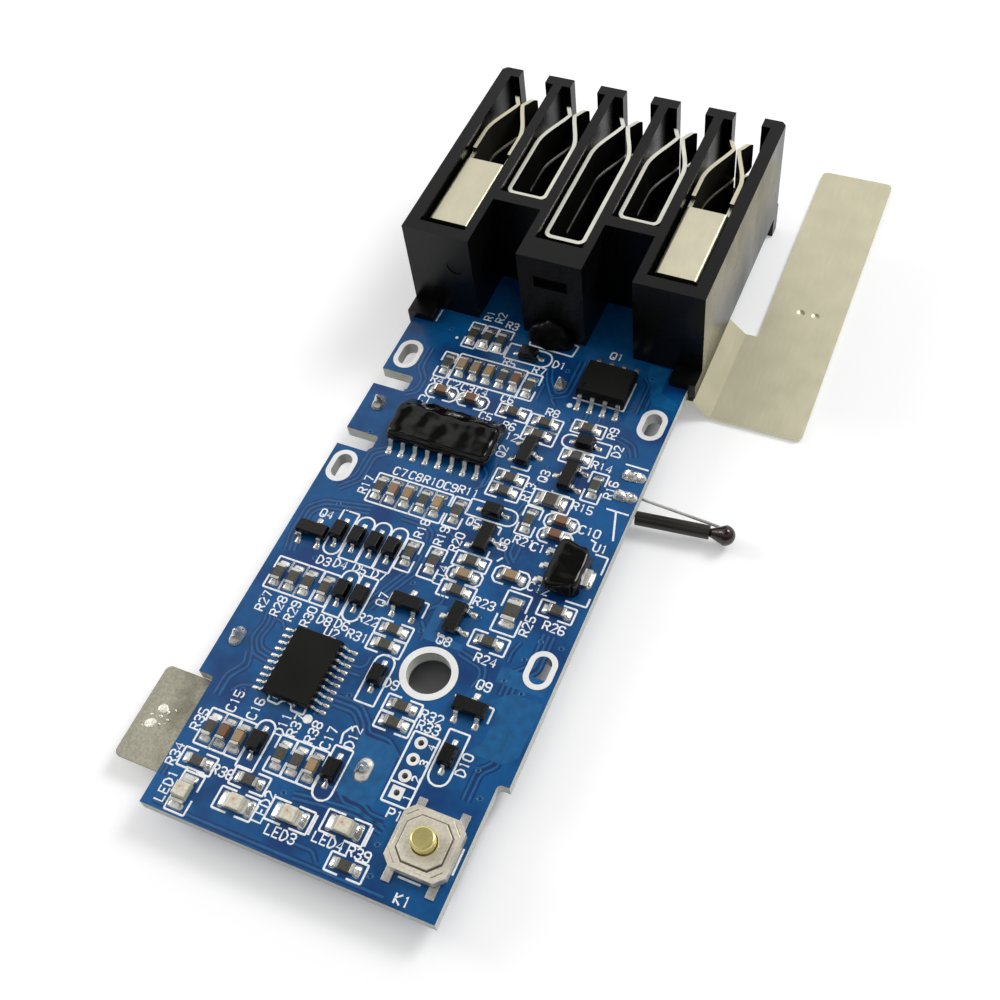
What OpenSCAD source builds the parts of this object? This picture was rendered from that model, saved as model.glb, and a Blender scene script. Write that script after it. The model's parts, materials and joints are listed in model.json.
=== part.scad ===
// Battery management board with a five-way fork terminal block.
// Board axes: X across the board, Y from the near edge towards the terminal
// block, Z up from the component face. The part's origin is the screw hole.

/* [Circuit board] */
// Thickness of the laminate
board_t = 1.3; // [1.0:0.1:1.6]
// Distance from the near edge to the front face of the terminal block
block_front = 56.1; // [55.9:0.1:62]
// How far the terminal block stands past the far edge of the board
block_overhang = 1.75; // [1.5:0.05:4]
// Length of the narrower stretch at the near edge
near_len = 11.85; // [8:0.05:13]
// How much narrower the near stretch is on the left
left_relief = 1.53; // [0.5:0.01:1.6]
// How much narrower the near stretch is on the right
right_relief = 0.95; // [0.2:0.01:1]
// Width of each edge notch on the left
notch_w = 2.0; // [1.6:0.05:2.4]
// Depth of each edge notch
notch_depth = 3.45; // [2:0.05:4]
// Middle of the lower and the upper edge notch
notch_y = [38.4, 46.1];
// Radius inside the notches and steps
corner_r = 0.4; // [0.1:0.05:0.6]
// Radius of the screw hole
screw_r = 1.9; // [1.5:0.05:2]
// Place of the screw hole
screw_at = [4.15, 18.6];
// Width of the land round the screw hole
screw_land = 0.6; // [0.3:0.05:0.7]

/* [Plated slots] */
// Width of a plated slot
slot_w = 1.5; // [1.2:0.05:1.7]
// Length of a plated slot
slot_len = 2.65; // [2.2:0.05:3.2]
// Width of the land round a slot
slot_land = 0.5; // [0.3:0.05:0.55]
// Distance from the board's edge to the middle of a slot
slot_inset = 1.65; // [1.6:0.05:1.8]
// Middles of the two slots on the left
left_slot_y = [35.15, 49.5];
// Middles of the two slots on the right
right_slot_y = [22.15, 49.1];
// Thickness of plating and lands
plating_t = 0.05; // [0.03:0.01:0.1]

/* [Terminal block] */
// Depth of the block from front to rear
block_len = 24.55; // [23:0.05:30]
// Height of the block over the board
block_h = 10.5; // [9.5:0.1:14]
// Distance from one terminal to the next
slot_pitch = 5.7; // [5.5:0.05:6.5]
// Width of each terminal's bay
bay_w = 4.7; // [4.6:0.05:4.9]
// Thickness of the two outer walls
outer_wall = 1.3; // [1.1:0.05:2]
// Width of the blade entry at the rear of a bay
entry_w = 2.9; // [2:0.05:3.6]
// Thickness of the rear posts
post_t = 1.2; // [0.8:0.05:1.6]
// Thickness of the floor under the bays
floor_t = 0.85; // [0.6:0.05:1.2]
// Depth of the two pockets in the front
pocket_len = 6.05; // [4.5:0.05:6.3]
// Thickness of the wall behind a pocket
pocket_wall = 1.3; // [0.9:0.05:1.5]
// Thickness of the wall in front of the middle bay
middle_wall = 2.55; // [1.5:0.05:3]
// Thickness of the wall in front of the outer bays
front_wall = 1.3; // [0.9:0.05:2]
// Thickness of the skirt beside the board
skirt_t = 0.55; // [0.4:0.05:0.8]
// Drop of the skirt below the component face
skirt_drop = 0.95; // [0.6:0.05:1.3]
// Drop of the rear legs below the component face
leg_drop = 3.4; // [3.3:0.05:5]
// Depth of the rear legs
leg_len = 1.35; // [0.8:0.05:1.5]
// Width of the front feet
foot_w = 2.6; // [1.5:0.05:3]
// Length of the front feet
foot_len = 2.0; // [1:0.05:2.1]

/* [Fork contacts] */
// Thickness of the contact sheet
sheet_t = 0.4; // [0.25:0.05:0.5]
// Width of a fork over its two arms
fork_w = 4.15; // [3.6:0.05:4.3]
// Height of the fork's top edge below the top of the block
fork_drop = 0.7; // [0.4:0.05:1.2]
// Height of one finger
finger_h = 3.5; // [2.4:0.05:3.6]
// Gap between the upper and the lower finger
finger_gap = 0.4; // [0.2:0.05:0.8]
// Gap from the front of a bay to the fork in it
fork_inset = 0.6; // [0.3:0.05:1]
// Length of the fingers' inward bend
throat_len = 4.8; // [3.5:0.1:5.5]
// Length of the flared mouth
mouth_len = 1.6; // [1:0.05:1.9]
// Distance from the rear face of the block to the throat
throat_back = 4.35; // [3.6:0.05:5]
// Gap between the two arms at the throat
throat_gap = 0.08; // [0.04:0.01:0.3]
// Radius of the fingers' rear corners
tip_r = 0.9; // [0.3:0.05:1.1]
// Length of the flat top of a power contact
plate_len = 8.9; // [6:0.1:9.2]
// Radius of the solder pin holes
pin_hole_r = 0.65; // [0.6:0.01:0.8]

/* [Nickel strips] */
// Thickness of the nickel
nickel_t = 0.2; // [0.1:0.05:0.3]
// Drop of the right strip's flat below the component face
strip_drop = 3.0; // [2.6:0.05:3.1]
// Reach of the right strip from the middle of the board
strip_reach = 25.6; // [22:0.1:30]
// Width of the right strip's long leg
strip_w = 7.45; // [5:0.05:7.6]
// Length of the right strip
strip_len = 36; // [25:0.5:45]
// Length of the right strip's folded root
strip_root = 11.1; // [7:0.1:11.5]
// Run of the fold from the board's level to the flat
fold_run = 1.75; // [1.2:0.05:2.2]
// Reach of the left tab past the board's near stretch
tab_reach = 5.1; // [3:0.1:7]
// Width of the left tab
tab_w = 8.85; // [6:0.05:9]

/* [Thermistor] */
// Radius of the thermistor's bead
bead_r = 0.95; // [0.8:0.05:1.1]
// Radius of the insulating sleeve
sleeve_r = 0.65; // [0.5:0.05:0.7]
// Length of the sleeve
sleeve_len = 6.4; // [4:0.1:8]
// Radius of a bare lead
lead_r = 0.15; // [0.1:0.01:0.2]

/* [Push button] */
// Width of the switch's base
switch_w = 5.2; // [5:0.05:5.4]
// Height of the switch's base
switch_h = 0.95; // [0.9:0.05:1.2]
// Radius of the button
button_r = 1.0; // [0.8:0.05:1.2]
// Height of the button's top over the board
button_top = 2.3; // [1.9:0.05:3]
// Clearance round the button in its cover
button_gap = 0.06; // [0.03:0.01:0.1]
// Travel of the button
button_travel = 0.25; // [0.15:0.01:0.3]

/* [Hidden] */

$fn = 48;
blob_fn = 20;      // facets of the poured and hand-made blobs
clear = 0.1;       // play between a moulded part and the board
bite = 0.2;        // how far a cut runs past the faces it opens

block_w = 4 * slot_pitch + bay_w + 2 * outer_wall;
block_x = 0.15;    // the block sits a little to the right of the board's middle
block_rear = block_front + block_len;
board_w = block_w - 2 * skirt_t - 2 * clear;
board_len = block_rear - block_overhang;
edge_x = board_w / 2;
near_left_x = -edge_x + left_relief;
near_right_x = edge_x - right_relief;

// ------------------------------------------------------------------ helpers
module at_screw_hole() translate([-screw_at[0], -screw_at[1], 0]) children();

// Upright box by its low corner and its size
module box(low, size) translate(low) cube(size);

// Box standing on the component face, centred on a point
module chip(at, size, lift = 0)
    translate([at[0] - size[0] / 2, at[1] - size[1] / 2, lift]) cube(size);

// Oblong with round ends along Y
module oblong(w, len) {
    square([w, len - w], center = true);
    for (side = [-1, 1]) translate([0, side * (len - w) / 2]) circle(d = w);
}

// Solid fillet that fills an inner corner, which opens towards +X and +Y
module corner_fill(r) difference() {
    square(r);
    translate([r, r]) circle(r);
}

// Wire with round joints through a list of points
module wire(points, r) for (i = [0 : len(points) - 2]) {
    step = points[i + 1] - points[i];
    run = norm(step);
    translate(points[i]) {
        rotate([0, acos(step[2] / run), atan2(step[1], step[0])]) cylinder(r = r, h = run, $fn = 16);
        sphere(r = r, $fn = 16);
    }
}

// ------------------------------------------------------------ circuit board
slot_places = [
    for (y = left_slot_y) [-edge_x + slot_inset, y],
    for (y = right_slot_y) [edge_x - slot_inset, y]
];
header_x = 6.25;
header_pitch = 1.5;
header_first = 8.25;
header_hole_r = 0.25;
header_pad_r = 0.55;
header_places = [for (i = [0 : 3]) [header_x, header_first + i * header_pitch]];
thermistor_holes = [[edge_x - 1.3, 43.05], [edge_x - 1.3, 40.75]];
thermistor_hole_r = 0.3;

module edge_notch(y) translate([-edge_x - bite, y - notch_w / 2]) {
    square([notch_depth + bite - corner_r, notch_w]);
    translate([0, corner_r]) square([notch_depth + bite, notch_w - 2 * corner_r]);
    for (side = [corner_r, notch_w - corner_r])
        translate([notch_depth + bite - corner_r, side]) circle(corner_r);
}

module board_outline() {
    difference() {
        translate([-edge_x, 0]) square([board_w, board_len]);
        translate([-edge_x - bite, -bite]) square([left_relief + bite, near_len + bite]);
        translate([near_right_x, -bite]) square([right_relief + bite, near_len + bite]);
        for (y = notch_y) edge_notch(y);
    }
    translate([near_left_x, near_len]) rotate(180) corner_fill(corner_r);
    translate([near_right_x, near_len]) rotate(270) corner_fill(corner_r);
}

module circuit_board() color("royalblue") translate([0, 0, -board_t]) difference() {
    linear_extrude(board_t) board_outline();
    translate([screw_at[0], screw_at[1], -bite]) cylinder(r = screw_r, h = board_t + 2 * bite);
    for (at = slot_places) translate([at[0], at[1], -bite])
        linear_extrude(board_t + 2 * bite) oblong(slot_w + 2 * plating_t, slot_len + 2 * plating_t);
    for (at = header_places) translate([at[0], at[1], -bite])
        cylinder(r = header_hole_r + plating_t, h = board_t + 2 * bite);
    for (at = thermistor_holes) translate([at[0], at[1], -bite])
        cylinder(r = thermistor_hole_r, h = board_t + 2 * bite);
    for (i = [1 : 5], side = [-1, 1]) translate([bay_x(i) + side * pin_x, pin_y(i), -bite])
        cylinder(r = pin_hole_r, h = board_t + 2 * bite);
}

// Lands on both faces, joined by the plating of the hole between them
module plated_hole() {
    for (z = [0, -board_t - plating_t]) translate([0, 0, z]) linear_extrude(plating_t)
        difference() { children(0); children(2); }
    translate([0, 0, -board_t]) linear_extrude(board_t)
        difference() { children(1); children(2); }
}

module plated_slots() color("silver") for (at = slot_places) translate([at[0], at[1], 0])
    plated_hole() {
        oblong(slot_w + 2 * slot_land, slot_len + 2 * slot_land);
        oblong(slot_w + 2 * plating_t, slot_len + 2 * plating_t);
        oblong(slot_w, slot_len);
    }

module screw_hole_land() color("silver") for (z = [0, -board_t - plating_t])
    translate([screw_at[0], screw_at[1], z]) linear_extrude(plating_t) difference() {
        circle(screw_r + screw_land);
        circle(screw_r);
    }

// The first pad is square, which marks pin one
module header_pads() color("silver") for (i = [0 : 3])
    translate([header_places[i][0], header_places[i][1], 0]) plated_hole() {
        if (i == 0) square(2 * header_pad_r, center = true); else circle(header_pad_r);
        circle(header_hole_r + plating_t);
        circle(header_hole_r);
    }

// ----------------------------------------------------------- terminal block
// Bays are numbered 1 to 5 from the left; 1 and 5 are the power terminals
function bay_x(i) = block_x + (i - 3) * slot_pitch;
function is_power(i) = i == 1 || i == 5;
function bay_front(i) = block_front
    + (is_power(i) ? front_wall : i == 3 ? middle_wall : pocket_len + pocket_wall);

block_left = block_x - block_w / 2;
wall_t = slot_pitch - bay_w;
post_front = block_rear - post_t;
window_z = [6.75, 8.1];
window_w = 3.4;
window_depth = 0.6;
pin_mark_r = 0.9;
edge_break = 0.3;

// One bay, open at the top and at the blade entry in the rear
module bay_cut(i) {
    box([bay_x(i) - bay_w / 2, bay_front(i), floor_t],
        [bay_w, post_front - bay_front(i), block_h]);
    box([bay_x(i) - entry_w / 2, post_front - bite, floor_t],
        [entry_w, post_t + 2 * bite, block_h]);
    for (side = [-1, 1]) translate([bay_x(i) + side * pin_x, pin_y(i), -bite])
        cylinder(r = pin_hole_r, h = floor_t + 2 * bite);
}

// One of the two front pockets, open at the front, the top and the board
module pocket_cut(i) box([bay_x(i) - bay_w / 2 - clear, block_front - bite, -bite],
    [bay_w + 2 * clear, pocket_len + bite, block_h + 2 * bite]);

module skirt_and_foot(side) {
    inner = edge_x + clear;
    outer = side < 0 ? -block_left : block_w + block_left;
    scale_x = side;
    mirror([scale_x < 0 ? 1 : 0, 0, 0]) {
        box([inner, block_front - foot_len, -skirt_drop],
            [outer - inner, block_len + foot_len, skirt_drop]);
        box([outer - foot_w, block_front - foot_len, 0], [foot_w, foot_len, floor_t]);
        box([inner, block_rear - leg_len, -leg_drop], [outer - inner, leg_len, leg_drop]);
    }
}

module terminal_block() color("dimgray") {
    difference() {
        box([block_left, block_front, 0], [block_w, block_len, block_h]);
        for (i = [1 : 5]) bay_cut(i);
        for (i = [2, 4]) pocket_cut(i);
        box([block_x - window_w / 2, block_front - bite, window_z[0]],
            [window_w, window_depth + bite, window_z[1] - window_z[0]]);
        translate([bay_x(1) + bay_w / 2 - pin_mark_r, block_front - bite, block_h * 0.62])
            rotate([-90, 0, 0]) cylinder(r = pin_mark_r, h = bite + 0.1);
        for (x = [block_left, block_left + block_w]) translate([x, block_rear, -bite])
            rotate(45) translate([-edge_break, -edge_break, 0])
                cube([2 * edge_break, 2 * edge_break, block_h + 2 * bite]);
    }
    for (side = [-1, 1]) skirt_and_foot(side);
}

// ------------------------------------------------------------ fork contacts
fork_top = block_h - fork_drop;
fork_foot = fork_top - 2 * finger_h - finger_gap;
arm_x = (fork_w - sheet_t) / 2;
throat_y = block_rear - throat_back;
arm_end = throat_y - throat_len;
mouth_x = 1.05;
pin_x = arm_x;
pin_len = 1.0;
slit_root = 1.6;   // solid sheet left between the pins and the finger slit
bend_steps = 12;
function fork_front(i) = bay_front(i) + (i == 3 ? fork_inset + 0.4 : fork_inset)
    + (is_power(i) ? 0.6 : 0);
function pin_y(i) = fork_front(i) + 2;
function slit_start(i) = pin_y(i) + pin_len + slit_root;

// Middle line of an arm from its straight stretch to the flared mouth
throat_x = (sheet_t + throat_gap) / 2;
function ease(t) = t * t * (3 - 2 * t) * 0.55 + t * t * 0.45;
function arm_line() = concat(
    [for (k = [0 : bend_steps]) let (t = k / bend_steps)
        [arm_x + (throat_x - arm_x) * ease(t), arm_end + throat_len * t]],
    [for (k = [1 : 4]) let (t = k / 4)
        [throat_x + (mouth_x - throat_x) * (0.75 * t + 0.25 * sin(90 * t)), throat_y + mouth_len * t]]);
function unit(v) = v / norm(v);
function heading(line, i) =
    unit(line[min(i + 1, len(line) - 1)] - line[max(i - 1, 0)]);
function offset_line(line, d) =
    [for (i = [0 : len(line) - 1]) line[i] + d * [heading(line, i)[1], -heading(line, i)[0]]];
function reversed(list) = [for (i = [len(list) - 1 : -1 : 0]) list[i]];

module arm_plan(start) {
    polygon(concat(offset_line(arm_line(), sheet_t / 2),
                   reversed(offset_line(arm_line(), -sheet_t / 2))));
    translate([arm_x - sheet_t / 2, start]) square([sheet_t, arm_end - start + 0.01]);
}

module both_arms(start) for (side = [0, 1]) mirror([side, 0, 0]) arm_plan(start);

// Side view of one finger, with its rear corners rounded
arm_tip = throat_y + mouth_len + 0.1;
module finger_side(start) rotate([90, 0, 90]) translate([0, 0, -fork_w]) linear_extrude(2 * fork_w) {
    translate([start - 0.1, 0]) square([arm_tip - tip_r - start + 0.1, finger_h]);
    translate([start - 0.1, tip_r]) square([arm_tip - start + 0.1, finger_h - 2 * tip_r]);
    for (z = [tip_r, finger_h - tip_r]) translate([arm_tip - tip_r, z]) circle(tip_r);
}

// Upper and lower fingers of both arms
module finger_pair(i, start) translate([bay_x(i), 0, 0])
    for (z = [fork_foot, fork_foot + finger_h + finger_gap]) translate([0, 0, z]) intersection() {
        linear_extrude(finger_h) both_arms(start);
        finger_side(start);
    }

module solder_pins(i) for (side = [-1, 1])
    box([bay_x(i) + side * pin_x - sheet_t / 2, pin_y(i) - pin_len / 2, -board_t - 0.6],
        [sheet_t, pin_len, board_t + 0.6 + floor_t + 0.01]);

bend_r = 0.8;
// U of sheet seen from above, closed at the front
module u_plan(i) intersection() {
    difference() {
        rounded_front(fork_w, bend_r);
        translate([0, sheet_t]) rounded_front(fork_w - 2 * sheet_t, bend_r - sheet_t);
    }
    translate([-fork_w, 0]) square([2 * fork_w, slit_start(i) - fork_front(i)]);
}

module rounded_front(w, r) {
    reach = 2 * block_len;
    translate([-w / 2, r]) square([w, reach]);
    translate([-w / 2 + r, 0]) square([w - 2 * r, reach]);
    for (side = [-1, 1]) translate([side * (w / 2 - r), r]) circle(r);
}

module signal_contact(i) color("gainsboro") {
    translate([bay_x(i), fork_front(i), floor_t])
        linear_extrude(fork_top - floor_t) u_plan(i);
    finger_pair(i, slit_start(i) - 0.01);
    solder_pins(i);
}

module power_contact(i) color("gainsboro") {
    plate_end = fork_front(i) + plate_len;
    neck = 0.5;
    // folded channel: flat top, two side walls, with a lower neck before the fingers
    translate([bay_x(i), plate_end, 0]) rotate([90, 0, 0]) linear_extrude(plate_len) difference() {
        channel_section(fork_w, fork_top, sheet_t);
        channel_section(fork_w - 2 * sheet_t, fork_top - sheet_t, 0.05);
    }
    for (side = [-1, 1])
        box([bay_x(i) + side * arm_x - sheet_t / 2, plate_end - 0.01, fork_foot],
            [sheet_t, neck_len + 0.02, fork_top - neck - fork_foot]);
    finger_pair(i, plate_end + neck_len);
    solder_pins(i);
}
neck_len = 1.5;

// Upside-down U with round upper corners, standing on the block's floor
module channel_section(w, top, r) {
    translate([-w / 2, floor_t]) square([w, top - r - floor_t]);
    translate([-w / 2 + r, floor_t]) square([w - 2 * r, top - floor_t]);
    for (side = [-1, 1]) translate([side * (w / 2 - r), top - r]) circle(r);
}

module power_contact_left() power_contact(1);
module signal_contact_left() signal_contact(2);
module signal_contact_middle() signal_contact(3);
module signal_contact_right() signal_contact(4);
module power_contact_right() power_contact(5);

// ------------------------------------------------------------ nickel strips
strip_near = 54.0;
strip_yaw = 0.8;
weld_len = 3.8;    // how far each strip runs in under the board
nickel_top = -board_t - plating_t;
fold_x = edge_x + skirt_t + clear;
flat_x = fold_x + fold_run;
nickel_corner_r = 0.6;

module right_nickel_strip() color("tan") {
    // root under the board, with a hole for the contact's pin, and fold down to the flat
    difference() {
        translate([0, strip_near + strip_root, 0]) rotate([90, 0, 0]) linear_extrude(strip_root)
            polygon([
                [edge_x - weld_len, nickel_top], [fold_x, nickel_top], [flat_x, -strip_drop],
                [flat_x + nickel_t, -strip_drop], [flat_x + nickel_t, -strip_drop - nickel_t],
                [flat_x - nickel_t / 2, -strip_drop - nickel_t], [fold_x - nickel_t / 2, nickel_top - nickel_t],
                [edge_x - weld_len, nickel_top - nickel_t]
            ]);
        translate([bay_x(5) + pin_x, pin_y(5), nickel_top - nickel_t - bite])
            cylinder(r = pin_hole_r, h = nickel_t + 2 * bite);
    }
    translate([flat_x, strip_near, -strip_drop - nickel_t]) rotate(strip_yaw)
        linear_extrude(nickel_t) strip_flat();
}

module strip_flat() {
    reach = strip_reach - flat_x;
    translate([0, 0]) square([reach - nickel_corner_r, strip_root]);
    translate([reach - strip_w, nickel_corner_r]) square([strip_w, strip_len - 2 * nickel_corner_r]);
    translate([reach - strip_w + nickel_corner_r, 0])
        square([strip_w - 2 * nickel_corner_r, strip_len]);
    for (x = [reach - nickel_corner_r, reach - strip_w + nickel_corner_r],
         y = [nickel_corner_r, strip_len - nickel_corner_r])
        translate([x, y]) circle(nickel_corner_r);
}

module left_nickel_tab() color("tan") {
    tab_near = near_len - tab_w;
    left = near_left_x - tab_reach;
    translate([0, 0, nickel_top - nickel_t]) linear_extrude(nickel_t) {
        translate([left + nickel_corner_r, tab_near]) square([tab_reach + weld_len - nickel_corner_r, tab_w]);
        translate([left, tab_near + nickel_corner_r]) square([tab_reach, tab_w - 2 * nickel_corner_r]);
        for (y = [tab_near + nickel_corner_r, near_len - nickel_corner_r])
            translate([left + nickel_corner_r, y]) circle(nickel_corner_r);
    }
}

// --------------------------------------------------------------- thermistor
thermistor_z = -2.0;
sleeve_start = [edge_x + 0.3, 40.25, thermistor_z];
sleeve_turn = 6.5;
sleeve_dir = [cos(sleeve_turn), sin(sleeve_turn), 0];
sleeve_end = sleeve_start + sleeve_len * sleeve_dir;
neck_end = sleeve_end + 0.45 * sleeve_dir;
bead_at = neck_end + [bead_r * 0.95, 0.12, 0];

module thermistor_bead() color("maroon") {
    translate(bead_at) sphere(bead_r, $fn = 32);
    // drop-shaped neck towards the leads
    translate(neck_end) rotate([0, 90, atan2(bead_at[1] - neck_end[1], bead_at[0] - neck_end[0])])
        cylinder(r1 = bead_r * 0.5, r2 = bead_r * 0.86, h = bead_r * 0.62, $fn = 32);
}

module thermistor_sleeve() color("dimgray") translate(sleeve_start)
    rotate([0, 90, sleeve_turn]) difference() {
        cylinder(r = sleeve_r, h = sleeve_len, $fn = 32);
        translate([0, 0, -bite]) cylinder(r = lead_r + 0.02, h = sleeve_len + 2 * bite, $fn = 16);
    }

module thermistor_leads() color("silver") {
    bare = thermistor_holes[0];
    covered = thermistor_holes[1];
    wire([[bare[0], bare[1], 0.2], [bare[0], bare[1], thermistor_z],
          [edge_x - 0.3, bare[1] - 0.75, thermistor_z], bead_at + (bead_r + 0.05) * [-0.72, 0.69, 0]], lead_r);
    wire([[covered[0], covered[1], 0.2], [covered[0], covered[1], thermistor_z],
          sleeve_start, neck_end], lead_r);
}

// Solder cones round the leads on the component face
module thermistor_joints() color("silver") for (at = thermistor_holes) difference() {
    hull() for (k = [-1, 1]) translate([at[0] + 0.55 * k + 0.1, at[1] + 0.05 * k, 0])
        cylinder(r1 = 0.62, r2 = 0.3, h = k > 0 ? 0.35 : 0.6, $fn = blob_fn);
    translate([at[0], at[1], -bite]) cylinder(r = lead_r, h = bite + 0.2, $fn = 16);
}

// -------------------------------------------------------- packaged circuits
// Gull-wing lead whose foot points along +X; its root lies at x = 0, z = 0
module gull_lead(w, root_z, run, t, foot) translate([0, w / 2, 0]) rotate([90, 0, 0])
    linear_extrude(w) polygon([
        [0, root_z], [0, root_z + t], [(run - foot) * 0.55, root_z + t],
        [run - foot + t * 0.3, t], [run, t], [run, 0], [run - foot, 0],
        [(run - foot) * 0.5, root_z]
    ]);

// Rows of leads along both long sides of a package
module lead_rows(at, turn, count, pitch, body_half, run, w, root_z, t, foot)
    translate([at[0], at[1], 0]) rotate(turn)
        for (side = [0, 180], k = [0 : count - 1]) rotate(side)
            translate([body_half, (k - (count - 1) / 2) * pitch, 0])
                gull_lead(w, root_z, run, t, foot);

// Moulded body with drafted sides above and below its parting line
module moulded_body(at, size, standoff, draft) {
    mid = standoff + (size[2] - standoff) * 0.45;
    translate([at[0], at[1], 0]) {
        hull() {
            translate([0, 0, mid]) plate(size[0], size[1], 0.04);
            translate([0, 0, size[2] - 0.01]) plate(size[0] - draft, size[1] - draft, 0.01);
        }
        hull() {
            translate([0, 0, standoff]) plate(size[0] - draft, size[1] - draft, 0.01);
            translate([0, 0, mid]) plate(size[0], size[1], 0.04);
        }
    }
}
module plate(w, len, t) translate([-w / 2, -len / 2, 0]) cube([w, len, t]);

so_pitch = 1.27;     // small-outline lead pitch
so_reach = 1.05;   // from the body's side to the tip of a lead
mosfet_at = [edge_x - 7.1, 51.7];
mosfet_size = [4.9, 3.9, 1.5];
module mosfet_body() color("dimgray") moulded_body(mosfet_at, mosfet_size, 0.15, 0.25);
module mosfet_leads() color("silver")
    lead_rows(mosfet_at, 90, 4, so_pitch, mosfet_size[1] / 2, so_reach, 0.42, 0.65, 0.2, 0.5);

monitor_at = [9.55 - edge_x, 41.1];
monitor_size = [9.9, 3.9, 1.5];
module monitor_body() color("dimgray") moulded_body(monitor_at, monitor_size, 0.15, 0.25);
module monitor_leads() color("silver")
    lead_rows(monitor_at, 90, 8, so_pitch, monitor_size[1] / 2, so_reach, 0.42, 0.65, 0.2, 0.5);

// Hand-poured epoxy over the body and the far row of leads
module monitor_coating() color("dimgray") difference() {
    hull() for (sx = [-1, 1]) {
        translate([monitor_at[0] + sx * (monitor_size[0] / 2 - 0.25), monitor_at[1] + 2.75, 0])
            cylinder(r1 = 0.5, r2 = 0.3, h = 0.75, $fn = blob_fn);
        translate([monitor_at[0] + sx * (monitor_size[0] / 2 - 0.35), monitor_at[1] + 1.3, 1.35])
            sphere(0.55, $fn = blob_fn);
        translate([monitor_at[0] + sx * (monitor_size[0] / 2 - 0.3), monitor_at[1] - 1.55, 0.95])
            sphere(0.6, $fn = blob_fn);
    }
    translate([0, 0, -5]) chip(monitor_at, [20, 20, 5]);
    monitor_body();
    monitor_leads();
}

controller_at = [8.62 - edge_x, 15.13];
controller_size = [4.4, 6.5, 1.05];
module controller_body() color("dimgray") moulded_body(controller_at, controller_size, 0.1, 0.15);
module controller_leads() color("silver")
    lead_rows(controller_at, 0, 10, 0.65, controller_size[0] / 2, 1.0, 0.24, 0.42, 0.13, 0.55);

regulator_at = [edge_x - 3.1, 31.6];
regulator_size = [2.5, 4.5, 1.5];
module regulator_body() color("dimgray") moulded_body(regulator_at, regulator_size, 0.05, 0.2);
module regulator_leads() color("silver") {
    for (k = [-1 : 1])
        box([regulator_at[0] - regulator_size[0] / 2 - 1.0, regulator_at[1] + 1.5 * k - 0.22, 0],
            [1.09, 0.44, 0.04]);
    for (k = [-1 : 1])
        box([regulator_at[0] - regulator_size[0] / 2 - 0.9, regulator_at[1] + 1.5 * k - 0.22, 0.04],
            [0.9, 0.44, 0.34]);
    translate([regulator_at[0] + regulator_size[0] / 2, regulator_at[1] - 0.85, 0])
        cube([0.9, 1.7, 0.38]);
}

module regulator_coating() color("dimgray") difference() {
    hull() {
        for (s = [-1, 1]) translate([regulator_at[0] - 0.75, regulator_at[1] + s * 1.9, 1.1])
            sphere(0.75, $fn = blob_fn);
        for (s = [-1, 1]) translate([regulator_at[0] + 1.0, regulator_at[1] + s * 1.4, 0])
            cylinder(r1 = 0.85, r2 = 0.55, h = 1.5, $fn = blob_fn);
    }
    translate([0, 0, -5]) chip(regulator_at, [10, 10, 5]);
    regulator_body();
    regulator_leads();
}

// ------------------------------------------------------ discrete components
// Three-lead transistors: place and turn, with the single lead at +Y when unturned
transistors = [
    [[3.1, 42.1], -90], [[7.75, 40.85], 90], [[3.25, 32.2], -90], [[-11.7, 27.65], 0],
    [[4.2, 24.0], 90], [[-0.35, 23.85], 0], [[8.8, 16.85], 0]
];
transistor_size = [2.9, 1.3, 1.0];

module transistor_body(n) color("dimgray") translate([transistors[n - 1][0][0], transistors[n - 1][0][1], 0])
    rotate(transistors[n - 1][1]) moulded_body([0, 0], transistor_size, 0.08, 0.16);

module transistor_leads() color("silver") for (q = transistors)
    translate([q[0][0], q[0][1], 0]) rotate(q[1]) {
        translate([0, transistor_size[1] / 2, 0]) rotate(90) gull_lead(0.42, 0.42, 0.6, 0.12, 0.3);
        for (side = [-1, 1]) translate([side * 0.95, -transistor_size[1] / 2, 0]) rotate(-90)
            gull_lead(0.42, 0.42, 0.6, 0.12, 0.3);
    }

// Diodes: place and turn, long axis along X when unturned
diodes = [
    [[-1.35, 53.1], 0], [[7.8, 44.9], 0], [[2.75, 35.1], 0],
    for (x = [-9.4, -7.6, -5.85, -4.15]) [[x, 28.45], 90],
    for (x = [-6.3, -4.6]) [[x, 23.05], 90],
    [[0.25, 16.8], 90], [[8.8, 12.45], 90], [[-6.3, 7.9], 90], [[0.6, 8.0], 90]
];
diode_size = [1.75, 1.3, 1.0];

module diode_bodies() color("dimgray") for (d = diodes)
    translate([d[0][0], d[0][1], 0]) rotate(d[1]) cut_corner_body(diode_size, 0.12, 0.06);

// Box body with its four upper edges cut back
module cut_corner_body(size, cut, standoff) intersection() {
    translate([0, size[1] / 2, 0]) rotate([90, 0, 0]) linear_extrude(size[1])
        cut_section(size[0], size[2], cut, standoff);
    translate([-size[0] / 2, 0, 0]) rotate([90, 0, 90]) linear_extrude(size[0])
        cut_section(size[1], size[2], cut, standoff);
}
module cut_section(w, h, cut, base) polygon([
    [-w / 2, base], [w / 2, base], [w / 2, h * 0.5], [w / 2 - cut, h], [-w / 2 + cut, h], [-w / 2, h * 0.5]
]);

module diode_leads() color("silver") for (d = diodes, side = [0, 180])
    translate([d[0][0], d[0][1], 0]) rotate(d[1] + side) translate([diode_size[0] / 2, 0, 0])
        gull_lead(0.35, 0.3, 0.42, 0.12, 0.25);

// A row of places along X
function row(x, y, pitch, count) = [for (k = [0 : count - 1]) [[x + k * pitch, y], 90]];
function flat(x, y) = [[x, y], 0];

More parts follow.
